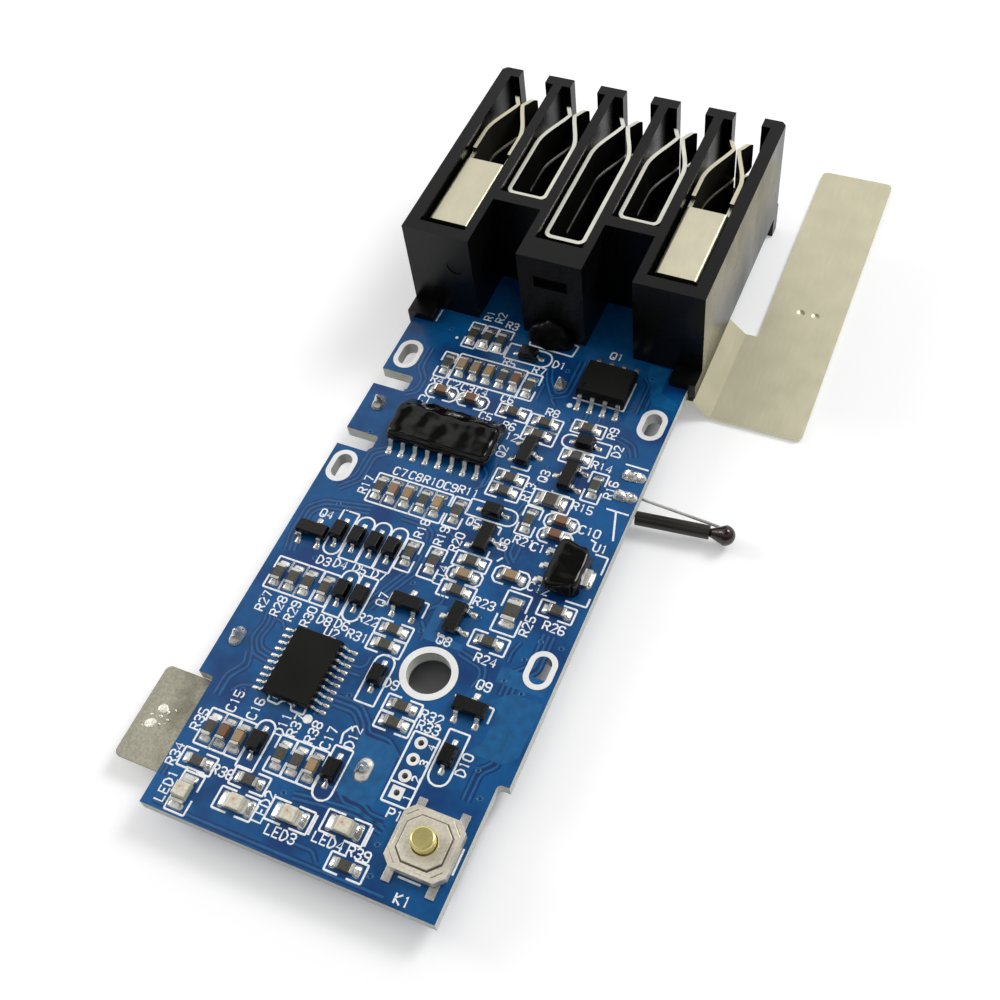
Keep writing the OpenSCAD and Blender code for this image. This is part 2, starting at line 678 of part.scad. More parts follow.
chip_size = [1.6, 0.8, 0.45];
chip_end = 0.3;
cap_h = 0.75;
resistors = concat(
    row(-7.6, 53.85, 1.47, 3), row(-8.45, 49.6, 1, 1), row(-2.7, 49.7, 1, 1), row(0.2, 49.5, 1, 1),
    [flat(-0.05, 46.2), flat(3.3, 46.0), flat(3.2, 44.5), flat(7.3, 46.7), flat(7.5, 43.3)],
    row(10.3, 40.8, 1, 1), [flat(2.7, 39.1), flat(2.7, 37.6)], row(6.1, 35.4, 1, 1),
    row(-8.2, 34.1, 1, 1), row(-3.75, 34.1, 1, 1), row(-0.35, 34.1, 1, 1),
    row(-2.5, 28.6, 2.35, 2), [flat(3.05, 29.75), flat(3.05, 26.6), flat(11.95, 27.75), flat(7.65, 23.0)],
    row(-12.6, 22.75, 1.47, 3), row(-7.95, 22.75, 1, 1), [flat(-0.4, 21.2), flat(-0.45, 19.65)],
    [flat(3.4, 15.05), flat(3.4, 13.5)], row(-10.7, 7.65, 1, 1), row(-4.0, 7.65, 1.5, 2),
    [flat(-10.15, 4.7), flat(-5.3, 4.8), flat(5.2, 1.45)]
);
capacitors = concat(
    row(-6.9, 49.7, 1.4, 3), row(-1.3, 49.7, 1, 1), [flat(-7.5, 46.2), flat(-4.4, 46.2)],
    [flat(8.95, 36.2), flat(8.95, 34.7)], row(-6.75, 34.1, 1.45, 2), row(-2.3, 34.1, 1, 1),
    [flat(3.05, 28.2), flat(6.95, 29.5)], row(-9.3, 7.65, 1.4, 2), row(-1.0, 7.65, 1, 1)
);
sense_size = [2.0, 1.25, 0.55];
sense_end = 0.42;
sense_resistors = [[[7.15, 38.0], 0], [[8.35, 26.3], 90]];

// Middle part of a chip between its two end caps
module chip_body(size, end) translate([0, 0, 0.02])
    translate([-size[0] / 2 + end, -size[1] / 2, 0]) cube([size[0] - 2 * end, size[1], size[2] - 0.04]);
module chip_ends(size, end) for (side = [0, 1]) mirror([side, 0, 0])
    translate([size[0] / 2 - end, -size[1] / 2, 0]) cube([end, size[1], size[2]]);
module placed(list) for (c = list) translate([c[0][0], c[0][1], 0]) rotate(c[1]) children();

module resistor_bodies() color("dimgray") placed(resistors) chip_body(chip_size, chip_end);
module resistor_ends() color("silver") placed(resistors) chip_ends(chip_size, chip_end);
module sense_resistor_bodies() color("dimgray") placed(sense_resistors) chip_body(sense_size, sense_end);
module sense_resistor_ends() color("silver") placed(sense_resistors) chip_ends(sense_size, sense_end);
cap_size = [chip_size[0], chip_size[1], cap_h];
module capacitor_bodies() color("peru") placed(capacitors) chip_body(cap_size, chip_end);
module capacitor_ends() color("silver") placed(capacitors) chip_ends(cap_size, chip_end);

// --------------------------------------------------------------------- LEDs
leds = [[[-9.95, 2.0], 90], [[-5.3, 2.7], 0], [[-0.8, 3.45], 0], [[3.7, 4.2], 0]];
led_size = [2.0, 1.25, 0.3];
led_end = 0.3;
lens_size = [1.4, 1.25, 0.45];

module led_base() color("ivory") placed(leds)
    translate([-led_size[0] / 2 + led_end, -led_size[1] / 2, 0])
        cube([led_size[0] - 2 * led_end, led_size[1], led_size[2]]);
module led_ends() color("khaki") placed(leds) chip_ends(led_size, led_end);
module led_lens(n) color("lemonchiffon") placed([leds[n - 1]]) translate([0, 0, led_size[2]])
    translate([0, lens_size[1] / 2, 0]) rotate([90, 0, 0]) linear_extrude(lens_size[1]) polygon([
        [-lens_size[0] / 2, 0], [lens_size[0] / 2, 0],
        [lens_size[0] / 2 - 0.12, lens_size[2]], [-lens_size[0] / 2 + 0.12, lens_size[2]]
    ]);

// ------------------------------------------------------------------- switch
switch_at = [near_right_x - 3.07, 5.1];
cover_t = 0.15;
cover_w = 4.75;
plateau_w = 3.8;
plateau_h = 0.35;
cover_top = switch_h + plateau_h;
cavity_r = 1.8;
cavity_floor = 0.3;
collar_r = button_r + 0.35;
collar_t = 0.22;
collar_z = cover_top - cover_t - collar_t - 0.05;
terminal_x = 1.87;
terminal_w = 0.75;
terminal_tip = 3.55;

// Square with its corners cut off
module octagon(w, cut) polygon([
    [-w / 2 + cut, -w / 2], [w / 2 - cut, -w / 2], [w / 2, -w / 2 + cut], [w / 2, w / 2 - cut],
    [w / 2 - cut, w / 2], [-w / 2 + cut, w / 2], [-w / 2, w / 2 - cut], [-w / 2, -w / 2 + cut]
]);

module on_switch() translate([switch_at[0], switch_at[1], 0]) children();

module switch_base() color("ivory") on_switch() difference() {
    linear_extrude(switch_h) octagon(switch_w, 0.75);
    translate([0, 0, cavity_floor]) cylinder(r = cavity_r, h = switch_h);
    for (sx = [-1, 1], sy = [-1, 1])
        translate([sx * terminal_x - terminal_w / 2, sy > 0 ? switch_w / 2 - 0.5 : -switch_w / 2 - 0.5, -bite])
            cube([terminal_w, 1, bite + 0.17]);
}

module switch_terminals() color("silver") on_switch() for (sx = [-1, 1], sy = [-1, 1])
    translate([sx * terminal_x - terminal_w / 2, sy > 0 ? switch_w / 2 - 0.5 : -terminal_tip, 0])
        cube([terminal_w, terminal_tip - switch_w / 2 + 0.5, 0.16]);

// Snap dome that the button presses; its rim rests on the floor of the base
module switch_dome() color("silver") on_switch() translate([0, 0, cavity_floor]) {
    rise = collar_z - cavity_floor - button_travel - 0.03;
    rim = cavity_r - 0.15;
    dome_r = (rim * rim + rise * rise) / (2 * rise);
    skin = 0.06;
    difference() {
        intersection() {
            translate([0, 0, rise - dome_r]) sphere(dome_r, $fn = 64);
            cylinder(r = rim, h = rise + bite);
        }
        translate([0, 0, rise - dome_r]) sphere(dome_r - skin, $fn = 64);
    }
}

module switch_cover() color("silver") on_switch() difference() {
    union() {
        translate([0, 0, switch_h]) linear_extrude(cover_t) octagon(cover_w, 0.95);
        translate([0, 0, switch_h]) linear_extrude(plateau_h) octagon(plateau_w, 0.85);
    }
    translate([0, 0, switch_h - bite]) linear_extrude(plateau_h - cover_t + bite)
        octagon(plateau_w - 2 * cover_t, 0.8);
    cylinder(r = button_r + button_gap, h = cover_top + 1);
}

module switch_button() color("gold") on_switch() {
    rim_r = 0.12;
    translate([0, 0, collar_z]) cylinder(r = collar_r, h = collar_t);
    translate([0, 0, collar_z]) cylinder(r = button_r, h = button_top - rim_r - collar_z);
    translate([0, 0, button_top - rim_r]) cylinder(r1 = button_r, r2 = button_r - rim_r, h = rim_r);
}

// ------------------------------------------------------- solder and adhesive
// Hand-made joints: place, width, length and height
joints = [
    [[-12.75, 43.0], 1.35, 2.0, 0.8], [[-12.9, 15.9], 1.3, 2.1, 0.8],
    [[2.9, 9.0], 1.45, 2.3, 0.45], [[2.9, 50.8], 1.2, 1.6, 0.7]
];
module solder_joints() color("silver") for (j = joints) translate([j[0][0], j[0][1], 0])
    hull() {
        for (side = [-1, 1]) translate([0, side * (j[2] - j[1]) / 2, 0])
            cylinder(r1 = j[1] / 2, r2 = j[1] / 2.6, h = j[3] * 0.35, $fn = blob_fn);
        translate([0, j[2] * 0.05, 0]) cylinder(r1 = j[1] / 2.4, r2 = j[1] / 6, h = j[3], $fn = blob_fn);
    }

dab_w = 4.6;
dab_h = 2.8;
dab_len = 1.9;
// Black sealant against the front of the block
module adhesive_dab() color("dimgray") intersection() {
    hull() {
        for (side = [-1, 1]) translate([side * (dab_w / 2 - 0.8), block_front - 0.5, 0])
            cylinder(r1 = 1.0, r2 = 0.5, h = dab_h * 0.6, $fn = blob_fn);
        translate([0, block_front, dab_h - 1]) sphere(1, $fn = blob_fn);
        translate([0, block_front - dab_len + 0.7, 0]) cylinder(r1 = 0.7, r2 = 0.4, h = 0.7, $fn = blob_fn);
    }
    box([-dab_w, block_front - dab_len, 0], [2 * dab_w, dab_len, 2 * dab_h]);
}

// ------------------------------------------------------------------- pieces
at_screw_hole() circuit_board();
at_screw_hole() plated_slots();
at_screw_hole() screw_hole_land();
at_screw_hole() header_pads();
at_screw_hole() terminal_block();
at_screw_hole() power_contact_left();
at_screw_hole() signal_contact_left();
at_screw_hole() signal_contact_middle();
at_screw_hole() signal_contact_right();
at_screw_hole() power_contact_right();
at_screw_hole() right_nickel_strip();
at_screw_hole() left_nickel_tab();
at_screw_hole() thermistor_bead();
at_screw_hole() thermistor_sleeve();
at_screw_hole() thermistor_leads();
at_screw_hole() thermistor_joints();
at_screw_hole() mosfet_body();
at_screw_hole() mosfet_leads();
at_screw_hole() monitor_body();
at_screw_hole() monitor_leads();
at_screw_hole() monitor_coating();
at_screw_hole() controller_body();
at_screw_hole() controller_leads();
at_screw_hole() regulator_body();
at_screw_hole() regulator_leads();
at_screw_hole() regulator_coating();
at_screw_hole() transistor_body(1);  // transistor_body_1
at_screw_hole() transistor_body(2);  // transistor_body_2
at_screw_hole() transistor_body(3);  // transistor_body_3
at_screw_hole() transistor_body(4);  // transistor_body_4
at_screw_hole() transistor_body(5);  // transistor_body_5
at_screw_hole() transistor_body(6);  // transistor_body_6
at_screw_hole() transistor_body(7);  // transistor_body_7
at_screw_hole() transistor_leads();
at_screw_hole() diode_bodies();
at_screw_hole() diode_leads();
at_screw_hole() resistor_bodies();
at_screw_hole() resistor_ends();
at_screw_hole() sense_resistor_bodies();
at_screw_hole() sense_resistor_ends();
at_screw_hole() capacitor_bodies();
at_screw_hole() capacitor_ends();
at_screw_hole() led_base();
at_screw_hole() led_ends();
at_screw_hole() led_lens(1);  // led_lens_1
at_screw_hole() led_lens(2);  // led_lens_2
at_screw_hole() led_lens(3);  // led_lens_3
at_screw_hole() led_lens(4);  // led_lens_4
at_screw_hole() switch_base();
at_screw_hole() switch_terminals();
at_screw_hole() switch_dome();
at_screw_hole() switch_cover();
at_screw_hole() switch_button();
at_screw_hole() solder_joints();
at_screw_hole() adhesive_dab();
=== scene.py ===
"""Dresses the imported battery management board.

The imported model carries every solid. This script softens their edges, adds the tracks, the printed
legend, the solder and the poured coatings, gives each piece its finish, and sets the studio round it.

All modelling is done in millimetres in the model's own frame and is brought to metres when a piece is
handed over. "Board" coordinates run from the middle of the near edge: X across, Y towards the terminal
block, Z up from the component face.
"""

from __future__ import annotations

import json
import logging
import math
from dataclasses import dataclass
from enum import Enum
from typing import Callable, ClassVar, Iterable, Sequence

import bmesh
import bpy
from mathutils import Matrix, Vector, noise

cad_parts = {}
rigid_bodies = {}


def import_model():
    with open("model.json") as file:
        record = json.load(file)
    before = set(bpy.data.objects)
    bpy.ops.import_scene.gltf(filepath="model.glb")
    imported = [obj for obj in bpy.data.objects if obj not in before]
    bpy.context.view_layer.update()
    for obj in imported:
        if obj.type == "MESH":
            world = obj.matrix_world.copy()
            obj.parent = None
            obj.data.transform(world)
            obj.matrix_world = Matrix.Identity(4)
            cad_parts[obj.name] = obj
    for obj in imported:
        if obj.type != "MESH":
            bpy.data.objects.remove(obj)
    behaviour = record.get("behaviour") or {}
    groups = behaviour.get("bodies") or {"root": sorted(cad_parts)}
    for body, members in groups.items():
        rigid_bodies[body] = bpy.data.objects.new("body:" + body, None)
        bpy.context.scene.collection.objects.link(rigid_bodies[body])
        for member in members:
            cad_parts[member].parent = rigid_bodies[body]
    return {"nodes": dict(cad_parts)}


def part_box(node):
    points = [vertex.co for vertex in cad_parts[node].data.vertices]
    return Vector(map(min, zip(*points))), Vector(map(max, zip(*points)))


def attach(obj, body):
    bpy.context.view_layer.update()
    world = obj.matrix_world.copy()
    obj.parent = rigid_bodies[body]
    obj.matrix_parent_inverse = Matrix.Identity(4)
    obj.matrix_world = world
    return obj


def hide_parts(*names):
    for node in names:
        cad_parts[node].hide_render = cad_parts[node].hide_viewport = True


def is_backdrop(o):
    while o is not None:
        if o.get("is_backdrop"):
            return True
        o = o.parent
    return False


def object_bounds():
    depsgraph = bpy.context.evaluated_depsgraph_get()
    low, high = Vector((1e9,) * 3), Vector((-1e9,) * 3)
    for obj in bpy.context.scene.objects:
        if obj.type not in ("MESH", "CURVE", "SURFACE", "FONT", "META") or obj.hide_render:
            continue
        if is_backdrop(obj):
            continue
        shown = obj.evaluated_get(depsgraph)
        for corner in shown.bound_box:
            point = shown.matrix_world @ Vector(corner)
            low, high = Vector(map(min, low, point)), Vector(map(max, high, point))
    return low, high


startup = list(bpy.data.objects)
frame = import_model()
for item in startup:
    bpy.data.objects.remove(item)

LOG = logging.getLogger("battery_board")
MM = 0.001
BOARD_BODY = "board"
BUTTON_BODY = "button"

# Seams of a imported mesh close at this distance, in millimetres, and faces that lean less than this angle,
# in degrees, become one.
SEAM = 0.0008
FLAT_ANGLE = 0.6
# Edges up to this angle, in degrees, are shaded smooth on a softened piece.
SMOOTH_ANGLE = 50
# How far a poured blob reaches into the face that it stands on, in millimetres.
SINK = 0.005
# A path that is shifted sideways runs out by no more than 1 / this at a sharp corner.
LEAST_LEAN = 0.6
# Weight of the larger faces in a softened piece's shading, and strength of one smoothing pass.
FACE_WEIGHT = 60
SMOOTHING = 0.6
# A mound draws in at its corners, falls off at its sides and its outer end, and has a foot below the pad,
# each as a share of its own size.
MOUND_CORNERS = 0.13
MOUND_SIDES = 0.9
MOUND_END = 0.8
MOUND_FOOT = 0.05

Piece = bpy.types.Object
Socket = bpy.types.NodeSocket
Colour = tuple[float, float, float]
Triple = tuple[float, float, float]
Stroke = tuple[list[Vector], bool]


# --------------------------------------------------------------------------- places and boxes


@dataclass(frozen=True)
class Block:
    """Axis-aligned box in millimetres."""

    low: Vector
    high: Vector

    @property
    def centre(self) -> Vector:
        """Middle of the box."""
        return (self.low + self.high) / 2

    @property
    def size(self) -> Vector:
        """Extent of the box along each axis."""
        return self.high - self.low


def node_block(node: str) -> Block:
    """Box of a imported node.

    Args:
        node: Name of the node.

    Returns:
        Its box in millimetres.
    """
    low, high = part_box(node)
    return Block(Vector(low) / MM, Vector(high) / MM)


class Datum:
    """Turns board coordinates into the model's frame."""

    def __init__(self) -> None:
        """Reads the board's own box."""
        board = node_block("circuit_board")
        self.middle = (board.low.x + board.high.x) / 2
        self.near = board.low.y
        self.face = board.high.z

    def at(self, x: float, y: float, z: float = 0.0) -> Vector:
        """Place in the model's frame of a point in board coordinates."""
        return Vector((self.middle + x, self.near + y, self.face + z))

    def path(self, points: Iterable[Sequence[float]]) -> list[Vector]:
        """Places of the points of a path in board coordinates."""
        return [self.at(x, y) for x, y in points]


# --------------------------------------------------------------------------- modelling by hand


def from_faces(name: str, corners: Sequence[Sequence[float]], faces: Sequence[Sequence[int]]) -> Piece:
    """Makes a mesh object from its corners and faces.

    Args:
        name: Name of the piece.
        corners: Corners, in millimetres.
        faces: Corner numbers of each face.

    Returns:
        The new object, linked to the scene.
    """
    mesh = bpy.data.meshes.new(name)
    mesh.from_pydata(corners, [], faces)
    piece = bpy.data.objects.new(name, mesh)
    bpy.context.scene.collection.objects.link(piece)
    return piece


def deselect() -> None:
    """Leaves nothing selected, in object mode."""
    if bpy.context.object and bpy.context.object.mode != "OBJECT":
        bpy.ops.object.mode_set(mode="OBJECT")
    bpy.ops.object.select_all(action="DESELECT")


def take(piece: Piece) -> Piece:
    """Selects one object alone and makes it active."""
    deselect()
    piece.select_set(True)
    bpy.context.view_layer.objects.active = piece
    return piece


def edit(piece: Piece) -> None:
    """Opens a mesh in edit mode with everything selected."""
    take(piece)
    bpy.ops.object.mode_set(mode="EDIT")
    bpy.ops.mesh.select_all(action="SELECT")


def leave_edit() -> None:
    """Returns to object mode."""
    bpy.ops.object.mode_set(mode="OBJECT")


def turn_outwards(piece: Piece) -> None:
    """Makes every face of a mesh look outwards."""
    edit(piece)
    bpy.ops.mesh.normals_make_consistent(inside=False)
    leave_edit()


def add_modifier(piece: Piece, kind: str, **settings: object) -> None:
    """Adds a modifier and applies it at once.

    Args:
        piece: The mesh object.
        kind: Blender's name for the modifier.
        **settings: Values for the modifier's own properties.
    """
    take(piece)
    modifier = piece.modifiers.new(kind.title(), kind)
    for name, value in settings.items():
        setattr(modifier, name, value)
    bpy.ops.object.modifier_apply(modifier=modifier.name)


def soften(piece: Piece, width: float, segments: int = 2, angle: float = 35.0) -> None:
    """Breaks the sharp edges of a mesh and evens its shading.

    Args:
        piece: The mesh object, in millimetres.
        width: Width of the broken edge.
        segments: Facets across it.
        angle: Edges sharper than this, in degrees, are broken.
    """
    add_modifier(
        piece,
        "BEVEL",
        width=width,
        segments=segments,
        limit_method="ANGLE",
        angle_limit=math.radians(angle),
        use_clamp_overlap=True,
        miter_outer="MITER_ARC",
    )
    take(piece)
    bpy.ops.object.shade_smooth_by_angle(angle=math.radians(SMOOTH_ANGLE))
    add_modifier(piece, "WEIGHTED_NORMAL", keep_sharp=True, weight=FACE_WEIGHT)


def smooth_all(piece: Piece, angle: float = 60.0) -> None:
    """Shades a mesh smooth up to an edge angle in degrees."""
    take(piece)
    bpy.ops.object.shade_smooth_by_angle(angle=math.radians(angle))


def copy_of(node: str, name: str) -> Piece:
    """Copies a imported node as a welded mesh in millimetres, with its flat faces whole.

    Args:
        node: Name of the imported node.
        name: Name of the new piece.

    Returns:
        The new object, linked to the scene.
    """
    source = frame["nodes"][node]
    mesh = source.data.copy()
    mesh.materials.clear()
    mesh.transform(Matrix.Scale(1 / MM, 4))
    piece = bpy.data.objects.new(name, mesh)
    bpy.context.scene.collection.objects.link(piece)
    edit(piece)
    bpy.ops.mesh.customdata_custom_splitnormals_clear()
    bpy.ops.mesh.remove_doubles(threshold=SEAM)
    bpy.ops.mesh.dissolve_limited(angle_limit=math.radians(FLAT_ANGLE))
    leave_edit()
    return piece


def loose_blocks(node: str) -> list[Block]:
    """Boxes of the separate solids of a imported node.

    Args:
        node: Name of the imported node.

    Returns:
        One box per solid, from the far end of the board to the near one.
    """
    work = bmesh.new()
    work.from_mesh(frame["nodes"][node].data)
    bmesh.ops.scale(work, vec=(1 / MM,) * 3, verts=work.verts)
    bmesh.ops.remove_doubles(work, verts=work.verts, dist=SEAM)
    seen: set[bmesh.types.BMVert] = set()
    found: list[Block] = []
    for start in work.verts:
        if start in seen:
            continue
        seen.add(start)
        stack, members = [start], []
        while stack:
            vertex = stack.pop()
            members.append(vertex.co.copy())
            for edge in vertex.link_edges:
                other = edge.other_vert(vertex)
                if other not in seen:
                    seen.add(other)
                    stack.append(other)
        low = Vector(min(p[k] for p in members) for k in range(3))
        high = Vector(max(p[k] for p in members) for k in range(3))
        found.append(Block(low, high))
    work.free()
    return sorted(found, key=lambda b: (-round(b.centre.y, 1), b.centre.x))


def nearest(block: Block, others: Sequence[Block]) -> Block:
    """The box whose middle lies nearest to another's."""
    return min(others, key=lambda other: (other.centre - block.centre).length)


def join(pieces: Sequence[Piece], name: str) -> Piece:
    """Joins objects into the first one.

    Args:
        pieces: Mesh objects.
        name: Name of the joined piece.

    Returns:
        The joined object.
    """
    deselect()
    for piece in pieces:
        piece.select_set(True)
    bpy.context.view_layer.objects.active = pieces[0]
    bpy.ops.object.join()
    pieces[0].name = name
    return pieces[0]


def stamp(pattern: Piece, places: Iterable[Matrix], name: str) -> Piece:
    """Copies one modelled pattern to many places and joins the copies.

    Args:
        pattern: The piece modelled once, round the origin; it is used up.
        places: Where each copy goes.
        name: Name of the joined piece.

    Returns:
        The joined object.
    """
    base = pattern.data
    work = bmesh.new()
    for place in places:
        mesh = base.copy()
        mesh.transform(place)
        work.from_mesh(mesh)
        bpy.data.meshes.remove(mesh)
    joined = bpy.data.meshes.new(name)
    work.to_mesh(joined)
    work.free()
    piece = bpy.data.objects.new(name, joined)
    bpy.context.scene.collection.objects.link(piece)
    bpy.data.objects.remove(pattern)
    for polygon in joined.polygons:
        polygon.use_smooth = True
    return piece


def placed(
    x: float, y: float, z: float = 0.0, turn: float = 0.0, scale: Sequence[float] = (1, 1, 1)
) -> Matrix:
    """Matrix of a copy's place, turn about Z in degrees, and stretch."""
    return (
        Matrix.Translation((x, y, z))
        @ Matrix.Rotation(math.radians(turn), 4, "Z")
        @ Matrix.Diagonal((*scale, 1))
    )


def mound(name: str, profile: Callable[[float, float], float], cuts: int = 4) -> Piece:
    """Models a closed mound of solder, one unit long, wide and high.

    Args:
        name: Name of the piece.
        profile: Height share from 0 to 1 for a place across the mound, each from -1 to 1.
        cuts: Subdivision of each side.

    Returns:
        The mound, standing on Z 0 with its middle at the origin.
    """
    deselect()
    bpy.ops.mesh.primitive_cube_add(size=2, location=(0, 0, 0))
    piece = bpy.context.object
    piece.name = name
    edit(piece)
    bpy.ops.mesh.subdivide(number_cuts=cuts)
    leave_edit()
    for vertex in piece.data.vertices:
        u, v, w = vertex.co
        reach = 1 - MOUND_CORNERS * (u * u * v * v)
        share = (w + 1) / 2
        rim = (1 - MOUND_SIDES * v ** 6) * (1 - MOUND_END * max(0.0, u) ** 6)
        height = profile(u, v) * rim * share - MOUND_FOOT * (1 - share)
        vertex.co = (u * reach / 2, v * reach / 2, height)
    smooth_all(piece, 180)
    return piece


def dent(piece: Piece, centre: Vector, radius: float, depth: float) -> None:
    """Presses a round hollow into a piece.

    Args:
        piece: The mesh object.
        centre: Middle of the hollow, on the surface.
        radius: Radius of the hollow's rim.
        depth: Depth of the hollow.
    """
    ball = (radius * radius + depth * depth) / (2 * depth)
    deselect()
    bpy.ops.mesh.primitive_uv_sphere_add(
        segments=24, ring_count=16, radius=ball, location=centre + Vector((0, 0, ball - depth))
    )
    tool = bpy.context.object
    add_modifier(piece, "BOOLEAN", operation="DIFFERENCE", object=tool, solver="EXACT")
    bpy.data.objects.remove(tool)


def poured(node: str, name: str, voxel: float, passes: int, ripple: float) -> Piece:
    """Turns a plain solid into a poured or molten blob.

    Args:
        node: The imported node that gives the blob's room.
        name: Name of the piece.
        voxel: Size of the remesh, in millimetres.
        passes: Smoothing passes.
        ripple: Height of the uneven surface, in millimetres.

    Returns:
        The blob.
    """
    piece = copy_of(node, name)
    add_modifier(piece, "REMESH", mode="VOXEL", voxel_size=voxel, use_smooth_shade=True)
    low, high = node_block(node).low, node_block(node).high
    add_modifier(piece, "SMOOTH", factor=SMOOTHING, iterations=passes)
    for vertex in piece.data.vertices:
        push = noise.noise(vertex.co * 0.9) * ripple * min(1.0, max(0.0, (vertex.co.z - low.z) * 2))
        vertex.co += vertex.normal * push
        vertex.co.z = max(min(vertex.co.z, high.z), low.z - SINK)
    smooth_all(piece, 180)
    return piece


def hand_over(
    piece: Piece,
    finish: "Finish",
    replaces: Sequence[str] = (),
    body: str = BOARD_BODY,
) -> Piece:
    """Brings a finished piece to metres, dresses it and ties it to the frame.

    Args:
        piece: The piece, in millimetres.
        finish: Its finish.
        replaces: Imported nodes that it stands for.
        body: The body that it rides on.

    Returns:
        The same piece.
    """
    take(piece)
    bpy.ops.object.transform_apply(location=True, rotation=True, scale=True)
    piece.data.transform(Matrix.Scale(MM, 4))
    piece.data.update()
    piece.data.materials.clear()
    piece.data.materials.append(finish.material())
    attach(piece, body)
    if replaces:
        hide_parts(*replaces)
    LOG.info("%s: %d faces", piece.name, len(piece.data.polygons))
    return piece


def replace_softened(
    node: str,
    name: str,
    width: float,
    segments: int,
    finish: "Finish",
    body: str = BOARD_BODY,
) -> None:
    """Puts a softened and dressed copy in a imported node's place.

    Args:
        node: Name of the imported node.
        name: Name of the new piece.
        width: Width of the broken edges, in millimetres.
        segments: Facets across them.
        finish: Its finish.
        body: The body that it rides on.
    """
    piece = copy_of(node, name)
    soften(piece, width, segments)
    hand_over(piece, finish, [node], body)


# --------------------------------------------------------------------------- finishes


class Graph:
    """Lays out one material's nodes."""

    def __init__(self, name: str, tree: bpy.types.NodeTree | None = None) -> None:
        """Makes an empty material with a shader and an output, or clears a given tree.

        Args:
            name: Name of the material.
            tree: Node tree to lay out instead of a new material's.
        """
        if tree is not None:
            self.tree = tree
            tree.nodes.clear()
            return
        self.material = bpy.data.materials.new(name)
        self.material.use_nodes = True
        self.tree = self.material.node_tree
        self.tree.nodes.clear()
        self.shader = self.tree.nodes.new("ShaderNodeBsdfPrincipled")
        output = self.tree.nodes.new("ShaderNodeOutputMaterial")
        self.tree.links.new(self.shader.outputs[0], output.inputs[0])
        self.coords = self.tree.nodes.new("ShaderNodeTexCoord").outputs["Object"]

    def put(self, kind: str, settings: dict[str, object] | None = None, **inputs: object) -> bpy.types.Node:
        """Adds a node.

        Args:
            kind: Blender's node type.
            settings: Properties of the node.
            **inputs: Values or sockets for its inputs, by name with underscores for spaces.

        Returns:
            The node.
        """
        node = self.tree.nodes.new(kind)
        for name, value in (settings or {}).items():
            setattr(node, name, value)
        for name, value in inputs.items():
            socket = node.inputs[int(name[1:])] if name[0] == "_" else node.inputs[name.replace("_", " ")]
            self.feed(socket, value)
        return node

    def feed(self, socket: Socket, value: object) -> None:
        """Links a socket to another, or sets its own value."""
        if isinstance(value, Socket):
            self.tree.links.new(value, socket)
        elif isinstance(value, tuple) and len(value) == 3 and socket.type == "RGBA":
            socket.default_value = (*value, 1)
        else:
            socket.default_value = value

    def set(self, **inputs: object) -> None:
        """Sets or links inputs of the shader."""
        for name, value in inputs.items():
            self.feed(self.shader.inputs[name.replace("_", " ")], value)

    def math(self, operation: str, first: object, second: object) -> Socket:
        """One sum of two values."""
        return self.put("ShaderNodeMath", {"operation": operation}, _0=first, _1=second).outputs[0]

    def vector_math(self, operation: str, first: object, second: Sequence[float] = (0, 0, 0)) -> Socket:
        """One sum of two vectors that makes a vector."""
        return self.put("ShaderNodeVectorMath", {"operation": operation}, _0=first, _1=second).outputs[0]

    def lean(self, direction: Sequence[float]) -> Socket:
        """How far each ray of the surroundings points one way, from -1 to 1."""
        rays = self.put("ShaderNodeTexCoord").outputs["Generated"]
        way = tuple(Vector(direction).normalized())
        product = self.put("ShaderNodeVectorMath", {"operation": "DOT_PRODUCT"}, _0=rays, _1=way)
        return product.outputs["Value"]

    def split(self, vector: Socket) -> Sequence[Socket]:
        """The three parts of a vector."""
        return self.put("ShaderNodeSeparateXYZ", Vector=vector).outputs

    def cloud(self, size: float, detail: float = 3.0, stretch: Triple = (1, 1, 1)) -> Socket:
        """Soft noise with features of a size in millimetres, stretched along the axes."""
        mapped = self.put("ShaderNodeMapping", Vector=self.coords, Scale=stretch)
        scale = 1 / (size * MM)
        soft = self.put("ShaderNodeTexNoise", Vector=mapped.outputs[0], Scale=scale, Detail=detail)
        return soft.outputs["Fac"]

    def ramp(self, source: Socket, stops: Sequence[tuple[float, Colour]]) -> Socket:
        """Colour ramp through stops of place and colour."""
        node = self.put("ShaderNodeValToRGB", Fac=source)
        elements = node.color_ramp.elements
        while len(elements) < len(stops):
            elements.new(0.5)
        for element, (place, colour) in zip(elements, stops):
            element.position = place
            element.color = (*colour, 1)
        return node.outputs["Color"]

    def span(self, source: Socket, low: float, high: float, out_low: float, out_high: float) -> Socket:
        """Maps a range of values to another and clamps it."""
        node = self.put("ShaderNodeMapRange", _0=source, _1=low, _2=high, _3=out_low, _4=out_high)
        return node.outputs[0]

    def mix(self, share: object, first: object, second: object) -> Socket:
        """Mixes two colours."""
        node = self.put("ShaderNodeMix", {"data_type": "RGBA"})
        for index, value in ((0, share), (6, first), (7, second)):
            self.feed(node.inputs[index], value)
        return node.outputs[2]

    def bump(self, height: Socket, depth: float, onto: Socket | None = None) -> Socket:
        """Normal from a height map whose full depth is given in millimetres."""
        node = self.put("ShaderNodeBump", Strength=1.0, Distance=depth * MM, Height=height)
        if onto is not None:
            self.feed(node.inputs["Normal"], onto)
        return node.outputs[0]

    def height_above(self, level: float, blur: float = 0.01) -> Socket:
        """Mask that is 1 above a level in millimetres and 0 below it."""
        height = self.split(self.coords)[2]
        return self.span(height, (level - blur) * MM, (level + blur) * MM, 0.0, 1.0)

    def facing_up(self) -> Socket:
        """Mask that is 1 where a face looks up."""
        normal = self.put("ShaderNodeNewGeometry").outputs["Normal"]
        return self.span(self.split(normal)[2], 0.4, 0.8, 0.0, 1.0)


